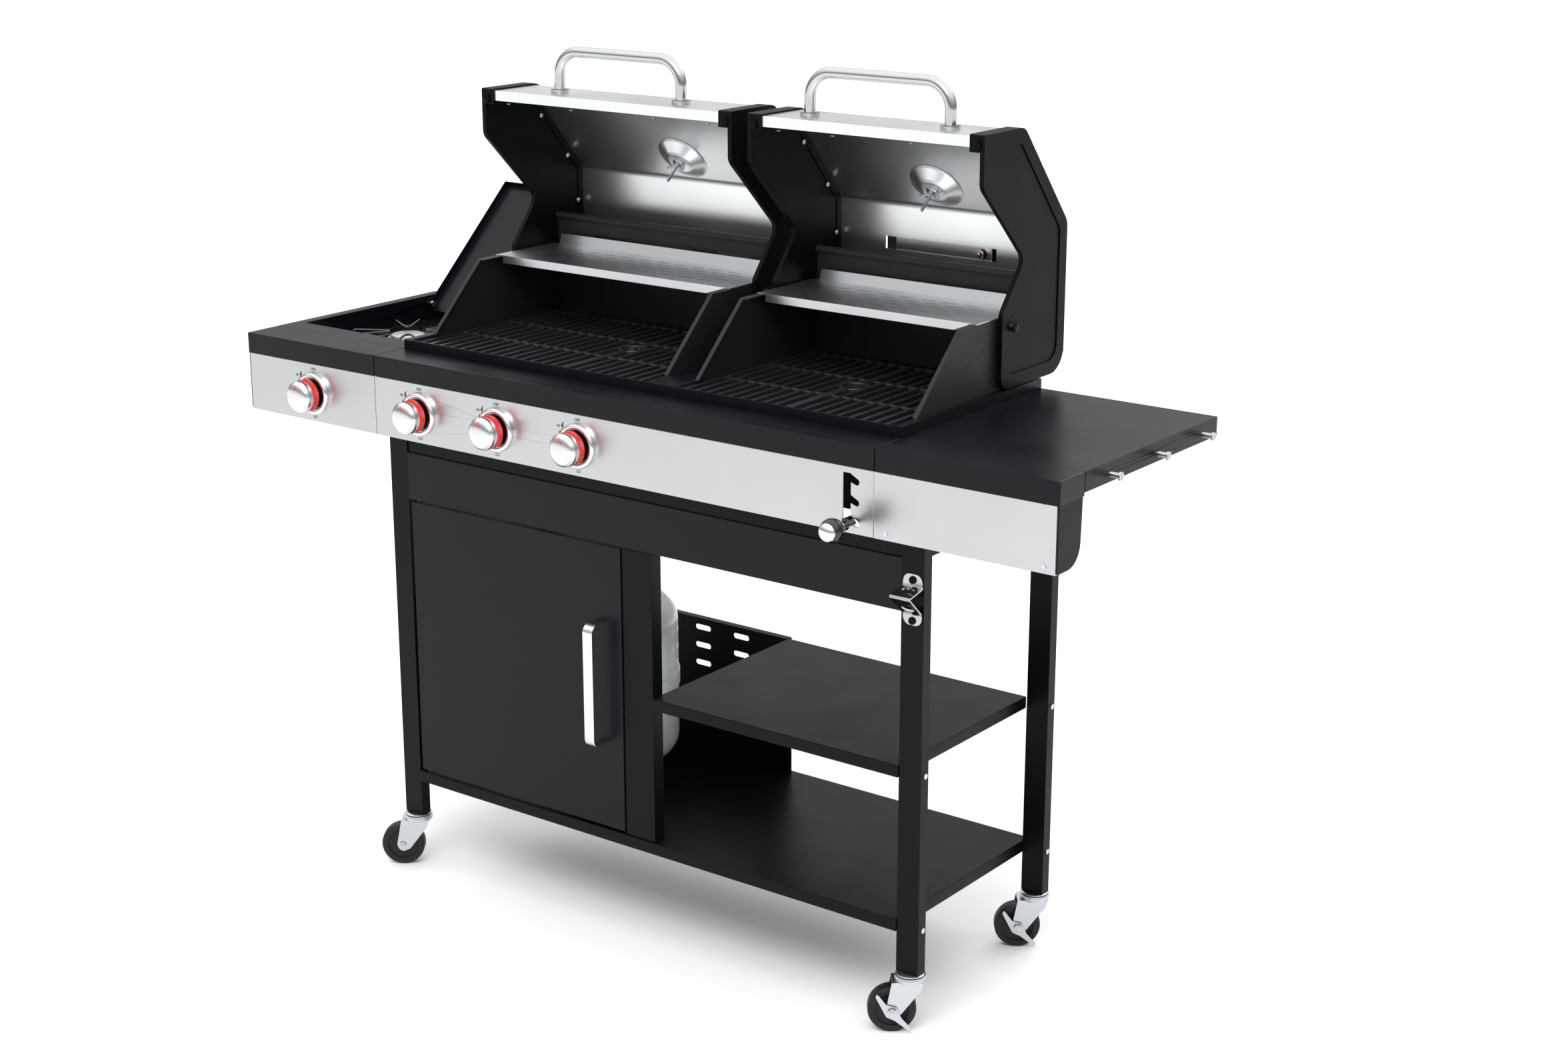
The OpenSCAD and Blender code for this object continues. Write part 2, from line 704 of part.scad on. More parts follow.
tray_z = lever_z + 8;
module charcoal_lever() place() color(black) {
    rod_y(arm_y, box_y + sheet + 12, slot_x, lever_z, lever_r);
    // short arm from the channel to the notch side, just in front of the fascia
    rod_x(slot_x, slot_x + ball_shift, arm_y, lever_z, lever_r);
    for (x = [slot_x, slot_x + ball_shift])
        translate([x, arm_y, lever_z]) sphere(r = lever_r + 0.4, $fn = 24);
    rod_y(ball_y, arm_y, slot_x + ball_shift, lever_z, lever_r);
    rod_y(ball_y, arm_y - 20, slot_x + ball_shift, lever_z, 7);
    translate([slot_x + ball_shift, ball_y, lever_z]) sphere(d = ball_dia, $fn = 40);
}

module grease_tray() place() color(steel) {
    y0 = leg_y + 24;
    y1 = leg_back_y + 8;
    z = rail_z - 23.5;
    x = (grease_x[0] + grease_x[1]) / 2;
    tub(grease_x[0], grease_x[1], y0, y1, z, z + 18, sheet);
    span([x - 50, y1 - sheet, z + 6], [x + 50, y1 + 22, z + 8]);
}

// ---- gas supply ----
module side_burner_head() place() color(grey) {
    translate([burner_x, burner_y, 0]) {
        translate([0, 0, well_z - 18]) cylinder(h = 24, r = 29.5);
        translate([0, 0, well_z + 6]) cylinder(h = 9, r = 38);
        translate([0, 0, well_z + 15]) cylinder(h = 4, r = 30);
    }
}

wire_r = 2.5;
trivet_z = top_z - 20;
module trivet_arm() {
    rod_x(24, 92, 0, 0, wire_r);
    translate([90, -wire_r, well_z - trivet_z]) cube([4, 2 * wire_r, trivet_z - well_z + wire_r]);
}
module pot_support() place() color(bright) {
    translate([burner_x, burner_y, trivet_z]) {
        for (a = [45:90:315]) rotate([0, 0, a]) trivet_arm();
        for (r = [24, 58]) translate([0, 0, -1.2]) difference() {
            cylinder(h = 3, r = r + 2);
            translate([0, 0, -1]) cylinder(h = 5, r = r - 2);
        }
    }
}

pipe_y = 30;
module gas_manifold() place() color(grey) {
    x0 = knob_x[0] - 24;
    x1 = knob_x[3] + 30;
    rod_x(x0, x1, pipe_y, knob_z, 8);
    rod_y(pipe_y, pipe_y + 30, x0 + 6, knob_z, 6);
    for (x = knob_x) {
        rod_y(sheet, pipe_y, x, knob_z, 11);
        rod_y(-knob_out + 14, sheet + 3, x, knob_z, 3.5);
    }
    for (i = [1:3]) rod_y(pipe_y, box_y - 9, knob_x[i], knob_z, 5);
    rod_y(pipe_y, pipe_y + 40, knob_x[0], knob_z, 5);
}

module gas_cylinder() place() color(grey) {
    translate([cyl_x, cyl_y, 0]) {
        rotate_extrude($fn = 96) polygon(concat(shell(cyl_dia / 2, 0), reversed(shell(cyl_dia / 2 - 3, 3))));
        difference() {
            translate([0, 0, cyl_z + cyl_wall_h / 2 - 12]) cylinder(h = 24, r = cyl_dia / 2 + 2.5);
            translate([0, 0, cyl_z + cyl_wall_h / 2 - 13]) cylinder(h = 26, r = cyl_dia / 2 - 1);
        }
        // foot ring and valve collar
        translate([0, 0, low_shelf_z]) difference() {
            cylinder(h = foot_h + 8, r = cyl_dia * 0.36);
            translate([0, 0, -1]) cylinder(h = foot_h + 12, r = cyl_dia * 0.36 - 3);
        }
        translate([0, 0, cyl_z + cyl_wall_h + dome_h * 0.62]) difference() {
            cylinder(h = 74, r = cyl_dia * 0.29);
            translate([0, 0, -1]) cylinder(h = 78, r = cyl_dia * 0.29 - 3);
            translate([-200, -18, 22]) cube([400, 36, 34]);
        }
        translate([0, 0, cyl_z + cyl_wall_h + dome_h - 4]) cylinder(h = 44, r = 13);
        translate([0, 0, cyl_z + cyl_wall_h + dome_h + 40]) cylinder(h = 14, r = 22);
    }
}

// outline of the vessel from the bottom of its axis to the top, with quarter-ellipse ends
function shell(r, t) = concat(
    [for (i = [0:10]) [r * sin(i * 9), cyl_z - (dome_h - t) * cos(i * 9)]],
    [for (i = [0:10]) [r * cos(i * 9), cyl_z + cyl_wall_h + (dome_h - t) * sin(i * 9)]]);
function reversed(p) = [for (i = [len(p) - 1:-1:0]) p[i]];

opener_x = leg_x[1] + leg_w / 2 + 1;
opener_z = apron_z + 42;
module bottle_opener() place() color(bright) {
    y = leg_y - sheet;
    z = opener_z;
    difference() {
        intersection() {
            along_x(opener_x - 18, opener_x + 18)
                polygon(strip([[y, z + 20], [y, z + 1, 3], [y - 38, z - 7, 3],
                               [y, z - 42, 4], [y, z - 59]], sheet));
            along_y(y - 45, leg_y + 1) translate([opener_x, z])
                polygon(rounded([[-16, 20, 12], [16, 20, 12], [18, -3, 3], [18, -12, 3], [16, -59, 12],
                                 [-16, -59, 12], [-18, -12, 3], [-18, -3, 3]]));
        }
        // mouth that takes the bottle cap
        translate([opener_x, y - 14, z - 60]) pill(22, 13, 70);
    }
}

// ---- hinge pins and bolts ----
module hinge_bolt(x, s) {
    // s is the side of the plate that the head is on
    a = x - s * (hood_clear + sheet + 5);
    b = x + s * end_t;
    rod_x(min(a, b), max(a, b), hinge_y, hinge_z, bolt_dia / 2);
    c = b + s * 0.4;
    rod_x(min(a, c), max(a, c), hinge_y, hinge_z, bolt_dia / 2);
    rod_x(s > 0 ? c : c - 4, s > 0 ? c + 4 : c, hinge_y, hinge_z, bolt_dia * 0.85);
    rod_x(s > 0 ? x - hood_clear + 0.5 : x + 0.6, s > 0 ? x - 0.6 : x + hood_clear - 0.5,
          hinge_y, hinge_z, bolt_dia * 0.8);
}

module hinge_pins() place() color(zinc) {
    hinge_bolt(gas_hood[0] + end_t, -1);
    hinge_bolt(gas_hood[1] - end_t, 1);
    hinge_bolt(coal_hood[0] + end_t, -1);
    hinge_bolt(coal_hood[1] - end_t, 1);
    for (s = [0, 1]) {
        x = well_x[s];
        k = s == 0 ? 1 : -1;
        rod_x(min(x - k * 5, x + k * 11), max(x - k * 5, x + k * 11), lid_hinge_y, lid_hinge_z, 3);
        rod_x(min(x + k * 11, x + k * 15), max(x + k * 11, x + k * 15), lid_hinge_y, lid_hinge_z, 5);
    }
    rod_z(door_z1 - 10, apron_z, door_pin_x, door_pin_y, 3);
    rod_z(low_shelf_z, door_z + 10, door_pin_x, door_pin_y, 3);
}

// ---- hoods, built closed and turned back on the hinge ----
module opened() {
    translate([0, hinge_y, hinge_z]) rotate([-hood_angle, 0, 0])
        translate([0, -hinge_y, -hinge_z]) children();
}

// outer line of a hood from the lower front lip up and over to the back
LINE = [[hood_y + skin_lip, hood_z], HOOD[0], HOOD[1], HOOD[2], [hood_back - 36, hood_top]];
FLANGE = [[hood_y + end_flange, hood_z], HOOD[0], HOOD[1], HOOD[2], [hood_back - 30, hood_top]];

module hood_end(x0, outer) {
    // outer is -1 for a left end and 1 for a right end
    xf = outer < 0 ? x0 : x0 + end_t;
    fx = outer < 0 ? x0 : x0 + end_t - end_flange;
    difference() {
        union() {
            along_x(x0, x0 + end_t) polygon(rounded(HOOD));
            along_x(fx, fx + end_flange) polygon(strip(FLANGE, -flange_t));
        }
        difference() {
            along_x(outer < 0 ? x0 - 1 : x0 + end_t - 2, outer < 0 ? x0 + 2 : x0 + end_t + 1)
                polygon(rounded(RECESS));
            rod_x(x0 - 2, x0 + end_t + 2, hinge_y, hinge_z, 16);
        }
        rod_x(x0 - 1, x0 + end_t + 1, hinge_y, hinge_z, bolt_dia / 2 + play);
    }
}

recess_in = 22;
RECESS = [[hood_y + recess_in, hood_z + recess_in, 4], [hood_y + recess_in, hood_z + front_panel_h - 10, 18],
          [hood_y + slope_run + 8, hood_top - recess_in, 20],
          [hood_back - recess_in, hood_top - recess_in, 26],
          [hood_back - recess_in, hood_z + 64 + recess_in, 8],
          [plate_top_y + 112, hood_z + 64 + recess_in, 16],
          [plate_top_y + 24, plate_z + 48, 26], [plate_foot_y + 14, hood_z + recess_in, 16]];

module hood_ends(h) {
    hood_end(h[0], -1);
    hood_end(h[1] - end_t, 1);
}

// point and direction on the sloped panel where the thermometer sits
module at_gauge(x) {
    translate([x, hood_y + flange_t, hood_z + front_panel_h]) rotate([slope_tilt, 0, 0])
        translate([0, gauge_at, -flange_t / 2]) children();
}

module hood_skin(h) {
    x = (h[0] + h[1]) / 2;
    difference() {
        along_x(h[0] + end_t, h[1] - end_t) polygon(strip(SKIN, -skin_t));
        at_gauge(x) translate([0, 0, -12]) cylinder(h = 24, d = gauge_hole);
        children();
    }
    at_gauge(x) gauge_cup();
}

SKIN = moved(LINE, -flange_t);

// pressed cup that the thermometer is sunk in; its floor is on the cooking side
module gauge_cup() {
    rotate_extrude($fn = 64) polygon([
        [stem_dia / 2 + 0.3, -gauge_depth], [gauge_floor / 2, -gauge_depth], [gauge_hole / 2, -skin_t],
        [gauge_hole / 2 + 0.4, -skin_t], [gauge_hole / 2 + 0.4, 0], [gauge_hole / 2 - 1, 0],
        [gauge_floor / 2 - 1, skin_t - gauge_depth], [stem_dia / 2 + 0.3, skin_t - gauge_depth]]);
}

module hood_handle(h) {
    x = (h[0] + h[1]) / 2;
    z = hood_z + 46;
    r = handle_dia / 2;
    bend = 42;
    y = hood_y - handle_out;
    for (s = [-1, 1]) {
        rod_y(y + bend, hood_y + flange_t, x + s * handle_w / 2, z, r);
        rod_y(hood_y + flange_t - 6, hood_y + flange_t, x + s * handle_w / 2, z, 16);
        translate([x + s * (handle_w / 2 - bend), y + bend, z]) rotate([0, 0, s > 0 ? 270 : 180])
            rotate_extrude(angle = 90) translate([bend, 0]) circle(r = r, $fn = 32);
    }
    rod_x(x - handle_w / 2 + bend, x + handle_w / 2 - bend, y, z, r);
}

module hood_gauge(h) {
    at_gauge((h[0] + h[1]) / 2) {
        translate([0, 0, skin_t - gauge_depth]) cylinder(h = 11, d = 44);
        translate([0, 0, -gauge_depth - 42]) cylinder(h = 44, d = 5);
        translate([0, 0, -gauge_depth - 9]) cylinder(h = 9, d = 14, $fn = 6);
    }
}

module hood_gas_ends() place() color(black) opened() hood_ends(gas_hood);
module hood_gas_skin() place() color(steel) opened() hood_skin(gas_hood);
module hood_gas_handle() place() color(bright) opened() hood_handle(gas_hood);
module hood_gas_thermometer() place() color(zinc) opened() hood_gauge(gas_hood);
module hood_charcoal_ends() place() color(black) opened() hood_ends(coal_hood);
module hood_charcoal_handle() place() color(bright) opened() hood_handle(coal_hood);
module hood_charcoal_thermometer() place() color(zinc) opened() hood_gauge(coal_hood);

vent_x = (coal_hood[0] + coal_hood[1] - vent_l) / 2 - 14;
skin_top = hood_top - flange_t;
module hood_charcoal_skin() place() color(steel) opened() {
    hood_skin(coal_hood)
        span([vent_x, vent_y, skin_top - 12], [vent_x + vent_l, vent_y + vent_w, hood_top + 1]);
    // guides that hold the vent plate
    for (s = [0, 1]) {
        y = s == 0 ? vent_y - 10 : vent_y + vent_w + 6.4;
        k = s == 0 ? y : y - 3.4;
        span([vent_x - 60, y, skin_top - skin_t], [vent_x + vent_l, y + 3.6, skin_top + 3.4]);
        span([vent_x - 60, k, skin_top + 2.2], [vent_x + vent_l, k + 7, skin_top + 3.4]);
    }
}

slider_l = 187;
module vent_slider() place() color(zinc) opened() {
    x0 = vent_x + 21;
    span([x0, vent_y - 6, skin_top + 0.4], [x0 + slider_l, vent_y + vent_w + 6, skin_top + 1.9]);
    rod_z(skin_top - 10, skin_top + 0.4, x0 + slider_l - 19, vent_y + vent_w / 2, 7);
    rod_z(skin_top + 1.9, skin_top + 12, x0 + slider_l - 19, vent_y + vent_w / 2, 8);
}

// ---- side burner lid, built closed and turned back ----
module side_lid() place() color(dark) {
    x0 = well_x[0] + lid_gap;
    x1 = well_x[1] - lid_gap;
    z = top_z - 1;
    translate([0, lid_hinge_y, lid_hinge_z]) rotate([-lid_angle, 0, 0])
    translate([0, -lid_hinge_y, -lid_hinge_z])
    difference() {
        union() {
            span([x0, lid_front, z - lid_t], [x1, lid_hinge_y + 8, z]);
            span([x0, lid_front, z - lid_pan], [x1, lid_front + lid_t, z]);
            for (x = [x0, x1 - lid_t]) {
                span([x, lid_front, z - lid_pan], [x + lid_t, lid_hinge_y - 8, z]);
                along_x(x, x + lid_t) polygon(rounded([[lid_hinge_y - 16, z, 0], [lid_hinge_y + 8, z, 0],
                    [lid_hinge_y + 8, lid_hinge_z - 7, 7], [lid_hinge_y - 8, lid_hinge_z - 7, 7]]));
            }
        }
        rod_x(x0 - 1, x1 + 1, lid_hinge_y, lid_hinge_z, 3 + play);
    }
}

// ---- door ----
door_pin_x = door_x + 10;
door_pin_y = leg_y - sheet + door_pan / 2 + 1;
module door() place() color(black) {
    y = leg_y - sheet;
    difference() {
        union() {
            difference() {
                span([door_x, y, door_z], [door_x1, y + door_pan, door_z1]);
                span([door_x + sheet, y + sheet, door_z + sheet],
                     [door_x1 - sheet, y + door_pan + 1, door_z1 - sheet]);
            }
            for (z = [door_z, door_z1 - 10]) rod_z(z, z + 10, door_pin_x, door_pin_y, 6);
        }
        rod_z(door_z - 1, door_z + 10.5, door_pin_x, door_pin_y, 3 + play);
        rod_z(door_z1 - 10.5, door_z1 + 1, door_pin_x, door_pin_y, 3 + play);
    }
}

pull_l = 212;
pull_out = 35;
module door_handle() place() color(zinc) {
    x = door_x1 - 43;
    y = leg_y - sheet;
    z = door_z + (door_z1 - door_z) * 0.52 - pull_l / 2;
    along_x(x - 10, x + 10) polygon(strip([[y, z], [y - pull_out, z, 15], [y - pull_out, z + pull_l, 15],
                                           [y, z + pull_l]], -3));
}

// ---- knobs ----
module knob(i) {
    translate([knob_x[i], 0, knob_z]) rotate([90, 0, 0]) difference() {
        union() {
            translate([0, 0, 9]) cylinder(h = 6, d = knob_dia - 14);
            translate([0, 0, 15]) cylinder(h = knob_out - 22, d = knob_dia);
            translate([0, 0, knob_out - 7]) rotate_extrude() intersection() {
                translate([0, -knob_dia]) circle(r = knob_dia + 7, $fn = 128);
                square([knob_dia / 2 - 0.6, 7]);
            }
        }
        translate([0, 0, -1]) cylinder(h = knob_out - 12, r = 3.5 + play);
    }
}

module knob_side() place() color(red) knob(0);
module knob_left() place() color(red) knob(1);
module knob_middle() place() color(red) knob(2);
module knob_right() place() color(red) knob(3);

// ---- casters; i picks left or right, j picks front or back ----
module caster_at(i, j) {
    translate([caster_x[i], caster_y[j], 0]) rotate([0, 0, caster_turn]) children();
}

module caster_stems() place() color(zinc) {
    for (i = [0, 1], j = [0, 1]) caster_at(i, j) {
        translate([0, 0, leg_z - 18]) cylinder(h = 48, r = stem_r);
        translate([0, 0, leg_z - 3]) cylinder(h = 3, r = 9);
        translate([0, 0, leg_z - 18]) cylinder(h = 2.5, r = 9);
    }
}

crown_z = leg_z - 4;
CHEEK = [[20, crown_z - 8, 2], [17, crown_z - 20, 6], [-trail + 13, axle_z - 6, 8],
         [-trail - 2, axle_z - 12, 8],
         [-trail - 10, axle_z, 8], [-trail - 1, crown_z - 8, 2]];
brake_gap = 1;
brake_t = 2.5;
module fork(i, j, braked = false) {
    side = cheek_in + cheek_t;
    near = side + (braked ? 2 * brake_gap + brake_t : 0);
    caster_at(i, j) {
        difference() {
            union() {
                translate([0, 0, crown_z - 9]) cylinder(h = 9, r = 24);
                span([-trail - 1, -side, crown_z - 11], [20, side, crown_z - 8]);
                for (y = [-side, cheek_in]) along_y(y, y + cheek_t) polygon(rounded(CHEEK));
            }
            translate([0, 0, crown_z - 20]) cylinder(h = 21, r = stem_r + play);
        }
        rod_y(-near - 4, side + 4, -trail, axle_z, axle_r);
        rod_y(side, side + 4, -trail, axle_z, 7);
        rod_y(-near - 4, -near, -trail, axle_z, 7);
    }
}

module wheel(i, j) {
    caster_at(i, j) translate([-trail, -wheel_w / 2, axle_z]) rotate([-90, 0, 0]) difference() {
        cylinder(h = wheel_w, d = wheel_dia, $fn = 96);
        for (z = [-1, wheel_w - 4]) translate([0, 0, z]) difference() {
            cylinder(h = 5, r = wheel_dia / 2 - 12);
            cylinder(h = 5, r = 11);
        }
        translate([0, 0, -1]) cylinder(h = wheel_w + 2, r = axle_r + play);
    }
}

// brake lever that rocks on the axle, outside one cheek
LEVER = [[-23, 31, 2], [-9, 12, 10], [7, 8, 8], [14, -9, 10], [31, -29, 2], [27, -32, 2], [4, -14, 10],
         [-9, -8, 8], [-15, 4, 12], [-26, 26, 2]];
module brake(i, j) {
    y = -cheek_in - cheek_t - brake_gap - brake_t;
    caster_at(i, j) difference() {
        translate([-trail, 0, axle_z]) along_y(y, y + brake_t) polygon(rounded(LEVER));
        rod_y(y - 1, y + brake_t + 1, -trail, axle_z, axle_r + play);
    }
}

module fork_front_left() place() color(zinc) fork(0, 0);
module fork_front_right() place() color(zinc) fork(1, 0, braked = true);
module fork_rear_left() place() color(zinc) fork(0, 1);
module fork_rear_right() place() color(zinc) fork(1, 1, braked = true);
module wheel_front_left() place() color(black) wheel(0, 0);
module wheel_front_right() place() color(black) wheel(1, 0);
module wheel_rear_left() place() color(black) wheel(0, 1);
module wheel_rear_right() place() color(black) wheel(1, 1);
module brake_front_right() place() color(zinc) brake(1, 0);
module brake_rear_right() place() color(zinc) brake(1, 1);

legs();
cart_rails();
apron_panel();
pillar_panel();
bottom_shelf();
mid_shelf();
rear_panel();
side_burner_top();
front_trim();
side_table_top();
fascias();
side_brackets();
tool_pegs();
base_frame();
firebox_gas();
firebox_charcoal();
grate_gas();
grate_charcoal();
rack_gas();
rack_charcoal();
burner_tubes();
heat_tents();
side_burner_head();
pot_support();
gas_manifold();
gas_cylinder();
bottle_opener();
knob_bezels();
frame_screws();
hinge_pins();
caster_stems();
hood_gas_ends();
hood_gas_skin();
hood_gas_handle();
hood_gas_thermometer();
hood_charcoal_ends();
hood_charcoal_skin();
hood_charcoal_handle();
hood_charcoal_thermometer();
vent_slider();
side_lid();
door();
door_handle();
knob_side();
knob_left();
knob_middle();
knob_right();
charcoal_lever();
charcoal_tray();
grease_tray();
fork_front_left();
fork_front_right();
fork_rear_left();
fork_rear_right();
wheel_front_left();
wheel_front_right();
wheel_rear_left();
wheel_rear_right();
brake_front_right();
brake_rear_right();
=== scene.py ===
"""Looks of the dual-fuel barbecue cart: materials, fine parts, floor, lights and camera."""

import math

import bmesh
import bpy
from mathutils import Matrix, Vector


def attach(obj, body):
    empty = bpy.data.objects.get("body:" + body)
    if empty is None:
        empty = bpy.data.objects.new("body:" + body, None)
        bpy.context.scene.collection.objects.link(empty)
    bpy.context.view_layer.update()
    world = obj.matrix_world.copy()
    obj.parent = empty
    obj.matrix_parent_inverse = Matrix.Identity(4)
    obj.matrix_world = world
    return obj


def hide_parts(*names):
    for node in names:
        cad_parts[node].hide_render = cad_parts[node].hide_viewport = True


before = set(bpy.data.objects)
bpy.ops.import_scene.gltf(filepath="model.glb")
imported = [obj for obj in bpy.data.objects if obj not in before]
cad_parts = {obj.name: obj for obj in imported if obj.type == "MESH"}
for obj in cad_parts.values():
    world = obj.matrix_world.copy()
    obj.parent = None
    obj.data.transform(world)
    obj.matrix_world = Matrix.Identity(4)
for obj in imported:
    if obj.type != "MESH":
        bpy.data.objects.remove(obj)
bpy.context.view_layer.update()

# ---- places, in millimetres from the left front corner of the worktop ----
X0, Y0 = 837.5, 288.77
HINGE_Y, HINGE_Z = 375.0, 1042.0
GAS = (315.0, 860.0)
COAL = (892.0, 1338.0)
KNOB_X = {"side": 163.8, "left": 417.0, "middle": 592.0, "right": 767.0}
KNOB_Z = 839.5
TURN = math.radians(36.5)


def P(x, y, z):
    """A point of the cart, in metres in the row frame."""
    return Vector(((x - X0) / 1000, (y - Y0) / 1000, z / 1000))


def opened(x, y, z):
    """A point given on a closed hood, moved to the open hood."""
    return P(x, HINGE_Y + (z - HINGE_Z), HINGE_Z - (y - HINGE_Y))


# ---- camera first ----
cam_data = bpy.data.cameras.new("camera")
cam = bpy.data.objects.new("camera", cam_data)
bpy.context.scene.collection.objects.link(cam)
cam.location = P(3318.53, -2889.35, 1843.81)
cam.rotation_euler = [math.radians(a) for a in (73.588, -0.0487, 36.587)]
cam_data.sensor_width = 36
cam_data.lens = 57.23
cam_data.clip_end = 60
bpy.context.scene.camera = cam


# ---- materials ----
class Nodes:
    """Short hands for building one node tree."""

    def __init__(self, name):
        self.m = bpy.data.materials.new(name)
        self.m.use_nodes = True
        self.t = self.m.node_tree
        self.b = self.t.nodes["Principled BSDF"]

    def add(self, kind, **values):
        n = self.t.nodes.new(kind)
        for k, v in values.items():
            if k in n.inputs:
                n.inputs[k].default_value = v
            else:
                setattr(n, k, v)
        return n

    def link(self, a, out, b, into):
        self.t.links.new(a.outputs[out], b.inputs[into])


def noise(k, scale, stretch=(1, 1, 1), detail=3.0, rough=0.55):
    co = k.add("ShaderNodeTexCoord")
    mp = k.add("ShaderNodeMapping")
    mp.inputs["Scale"].default_value = stretch
    k.link(co, "Object", mp, "Vector")
    n = k.add("ShaderNodeTexNoise", Scale=scale, Detail=detail, Roughness=rough)
    k.link(mp, "Vector", n, "Vector")
    return n


def spread(k, source, out, low, high, src=(0.3, 0.7)):
    """Maps a noise output onto low..high."""
    r = k.add("ShaderNodeMapRange")
    r.inputs["From Min"].default_value = src[0]
    r.inputs["From Max"].default_value = src[1]
    r.inputs["To Min"].default_value = low
    r.inputs["To Max"].default_value = high
    k.link(source, out, r, "Value")
    return r


def bump(k, source, out, strength, distance):
    b = k.add("ShaderNodeBump", Strength=strength, Distance=distance)
    k.link(source, out, b, "Height")
    k.link(b, "Normal", k.b, "Normal")


def paint(name, colour, rough=0.42, grain=0.12, coat=0.0, speck=900, spec=0.5):
    k = Nodes(name)
    k.b.inputs["Base Color"].default_value = (*colour, 1)
    k.b.inputs["Coat Weight"].default_value = coat
    k.b.inputs["Coat Roughness"].default_value = 0.12
    k.b.inputs["Specular IOR Level"].default_value = spec
    fine = noise(k, speck)
    broad = noise(k, 9, detail=2)
    r = spread(k, broad, "Fac", rough - 0.03, rough + 0.04)
    k.link(r, "Result", k.b, "Roughness")
    if grain:
        bump(k, fine, "Fac", grain, 0.0003)
    return k.m


def metal(name, colour, rough, stretch=(1, 1, 1), scale=60, depth=0.0, vary=0.03):
    """Bare metal; stretch sets the direction of the polishing lines."""
    k = Nodes(name)
    k.b.inputs["Metallic"].default_value = 1
    k.b.inputs["Base Color"].default_value = (*colour, 1)
    lines = noise(k, scale, stretch, detail=2)
    cloud = noise(k, 5, detail=2)
    r = spread(k, cloud, "Fac", rough - vary, rough + vary)
    k.link(r, "Result", k.b, "Roughness")
    if depth:
        bump(k, lines, "Fac", depth, 0.00005)
    return k.m


BLACK = paint("black powder coat", (0.0028, 0.0031, 0.0038), 0.36, 0.05, spec=0.10)
PANEL = paint("dark panel paint", (0.0036, 0.0044, 0.0062), 0.30, 0.02, spec=0.15)
INNER = paint("firebox enamel", (0.013, 0.013, 0.0135), 0.46, 0.10, speck=420, spec=0.25)
CASTING = paint("cast end paint", (0.0025, 0.0026, 0.0033), 0.36, 0.06, speck=500, spec=0.07)
IRON = paint("grate iron", (0.016, 0.017, 0.020), 0.30, 0.06, speck=700, spec=1.0)
FASCIA = metal("brushed fascia", (0.49, 0.495, 0.505), 0.34, (1, 1, 60), 20, 0.35)
SKIN = metal("hood steel", (0.84, 0.86, 0.87), 0.30, (1, 60, 60), 16, 0.12)
RACK = metal("rack steel", (0.62, 0.635, 0.65), 0.30, (1, 40, 40), 18, 0.2)
CHROME = metal("chrome", (0.80, 0.81, 0.82), 0.08, vary=0.015)
SATIN = metal("satin chrome", (0.66, 0.665, 0.67), 0.22, vary=0.02)
TOOL = metal("pressed tool steel", (0.42, 0.43, 0.44), 0.16, vary=0.03)
ZINC = metal("zinc", (0.56, 0.58, 0.61), 0.24, vary=0.06)
ALLOY = metal("burner alloy", (0.50, 0.49, 0.47), 0.42, scale=200, depth=1.0)
HANDLE = metal("handle tube", (0.50, 0.505, 0.51), 0.13, vary=0.02)
BRASS = metal("brass", (0.80, 0.45, 0.28), 0.25)
RED = paint("red knob band", (0.60, 0.012, 0.010), 0.26, 0.0, coat=0.6)
# also used for the disc in each bezel gap, where this black is painted shade
GLOSS_AND_GAP_SHADE = paint("black gloss and painted gap shade", (0.006, 0.006, 0.007), 0.18, 0.0, coat=0.4)
RUBBER = paint("black wheel", (0.008, 0.008, 0.008), 0.45, 0.1, spec=0.3)
CYLINDER = paint("cylinder paint", (0.50, 0.52, 0.53), 0.33, 0.02, coat=0.3)
# also used for the burner port rods, where this near-black is painted shade for the holes
MARK_INK_AND_PORT_SHADE = paint("mark ink and painted port shade", (0.010, 0.010, 0.011), 0.5, 0.0)
DIAL = paint("dial", (0.75, 0.75, 0.74), 0.4, 0.0)
FLOOR = paint("floor", (0.93, 0.93, 0.93), 0.8, 0.0, spec=0.1)

glass = Nodes("gauge glass")
glass.b.inputs["Base Color"].default_value = (1, 1, 1, 1)
glass.b.inputs["Roughness"].default_value = 0.02
glass.b.inputs["Alpha"].default_value = 0.12
GLASS = glass.m

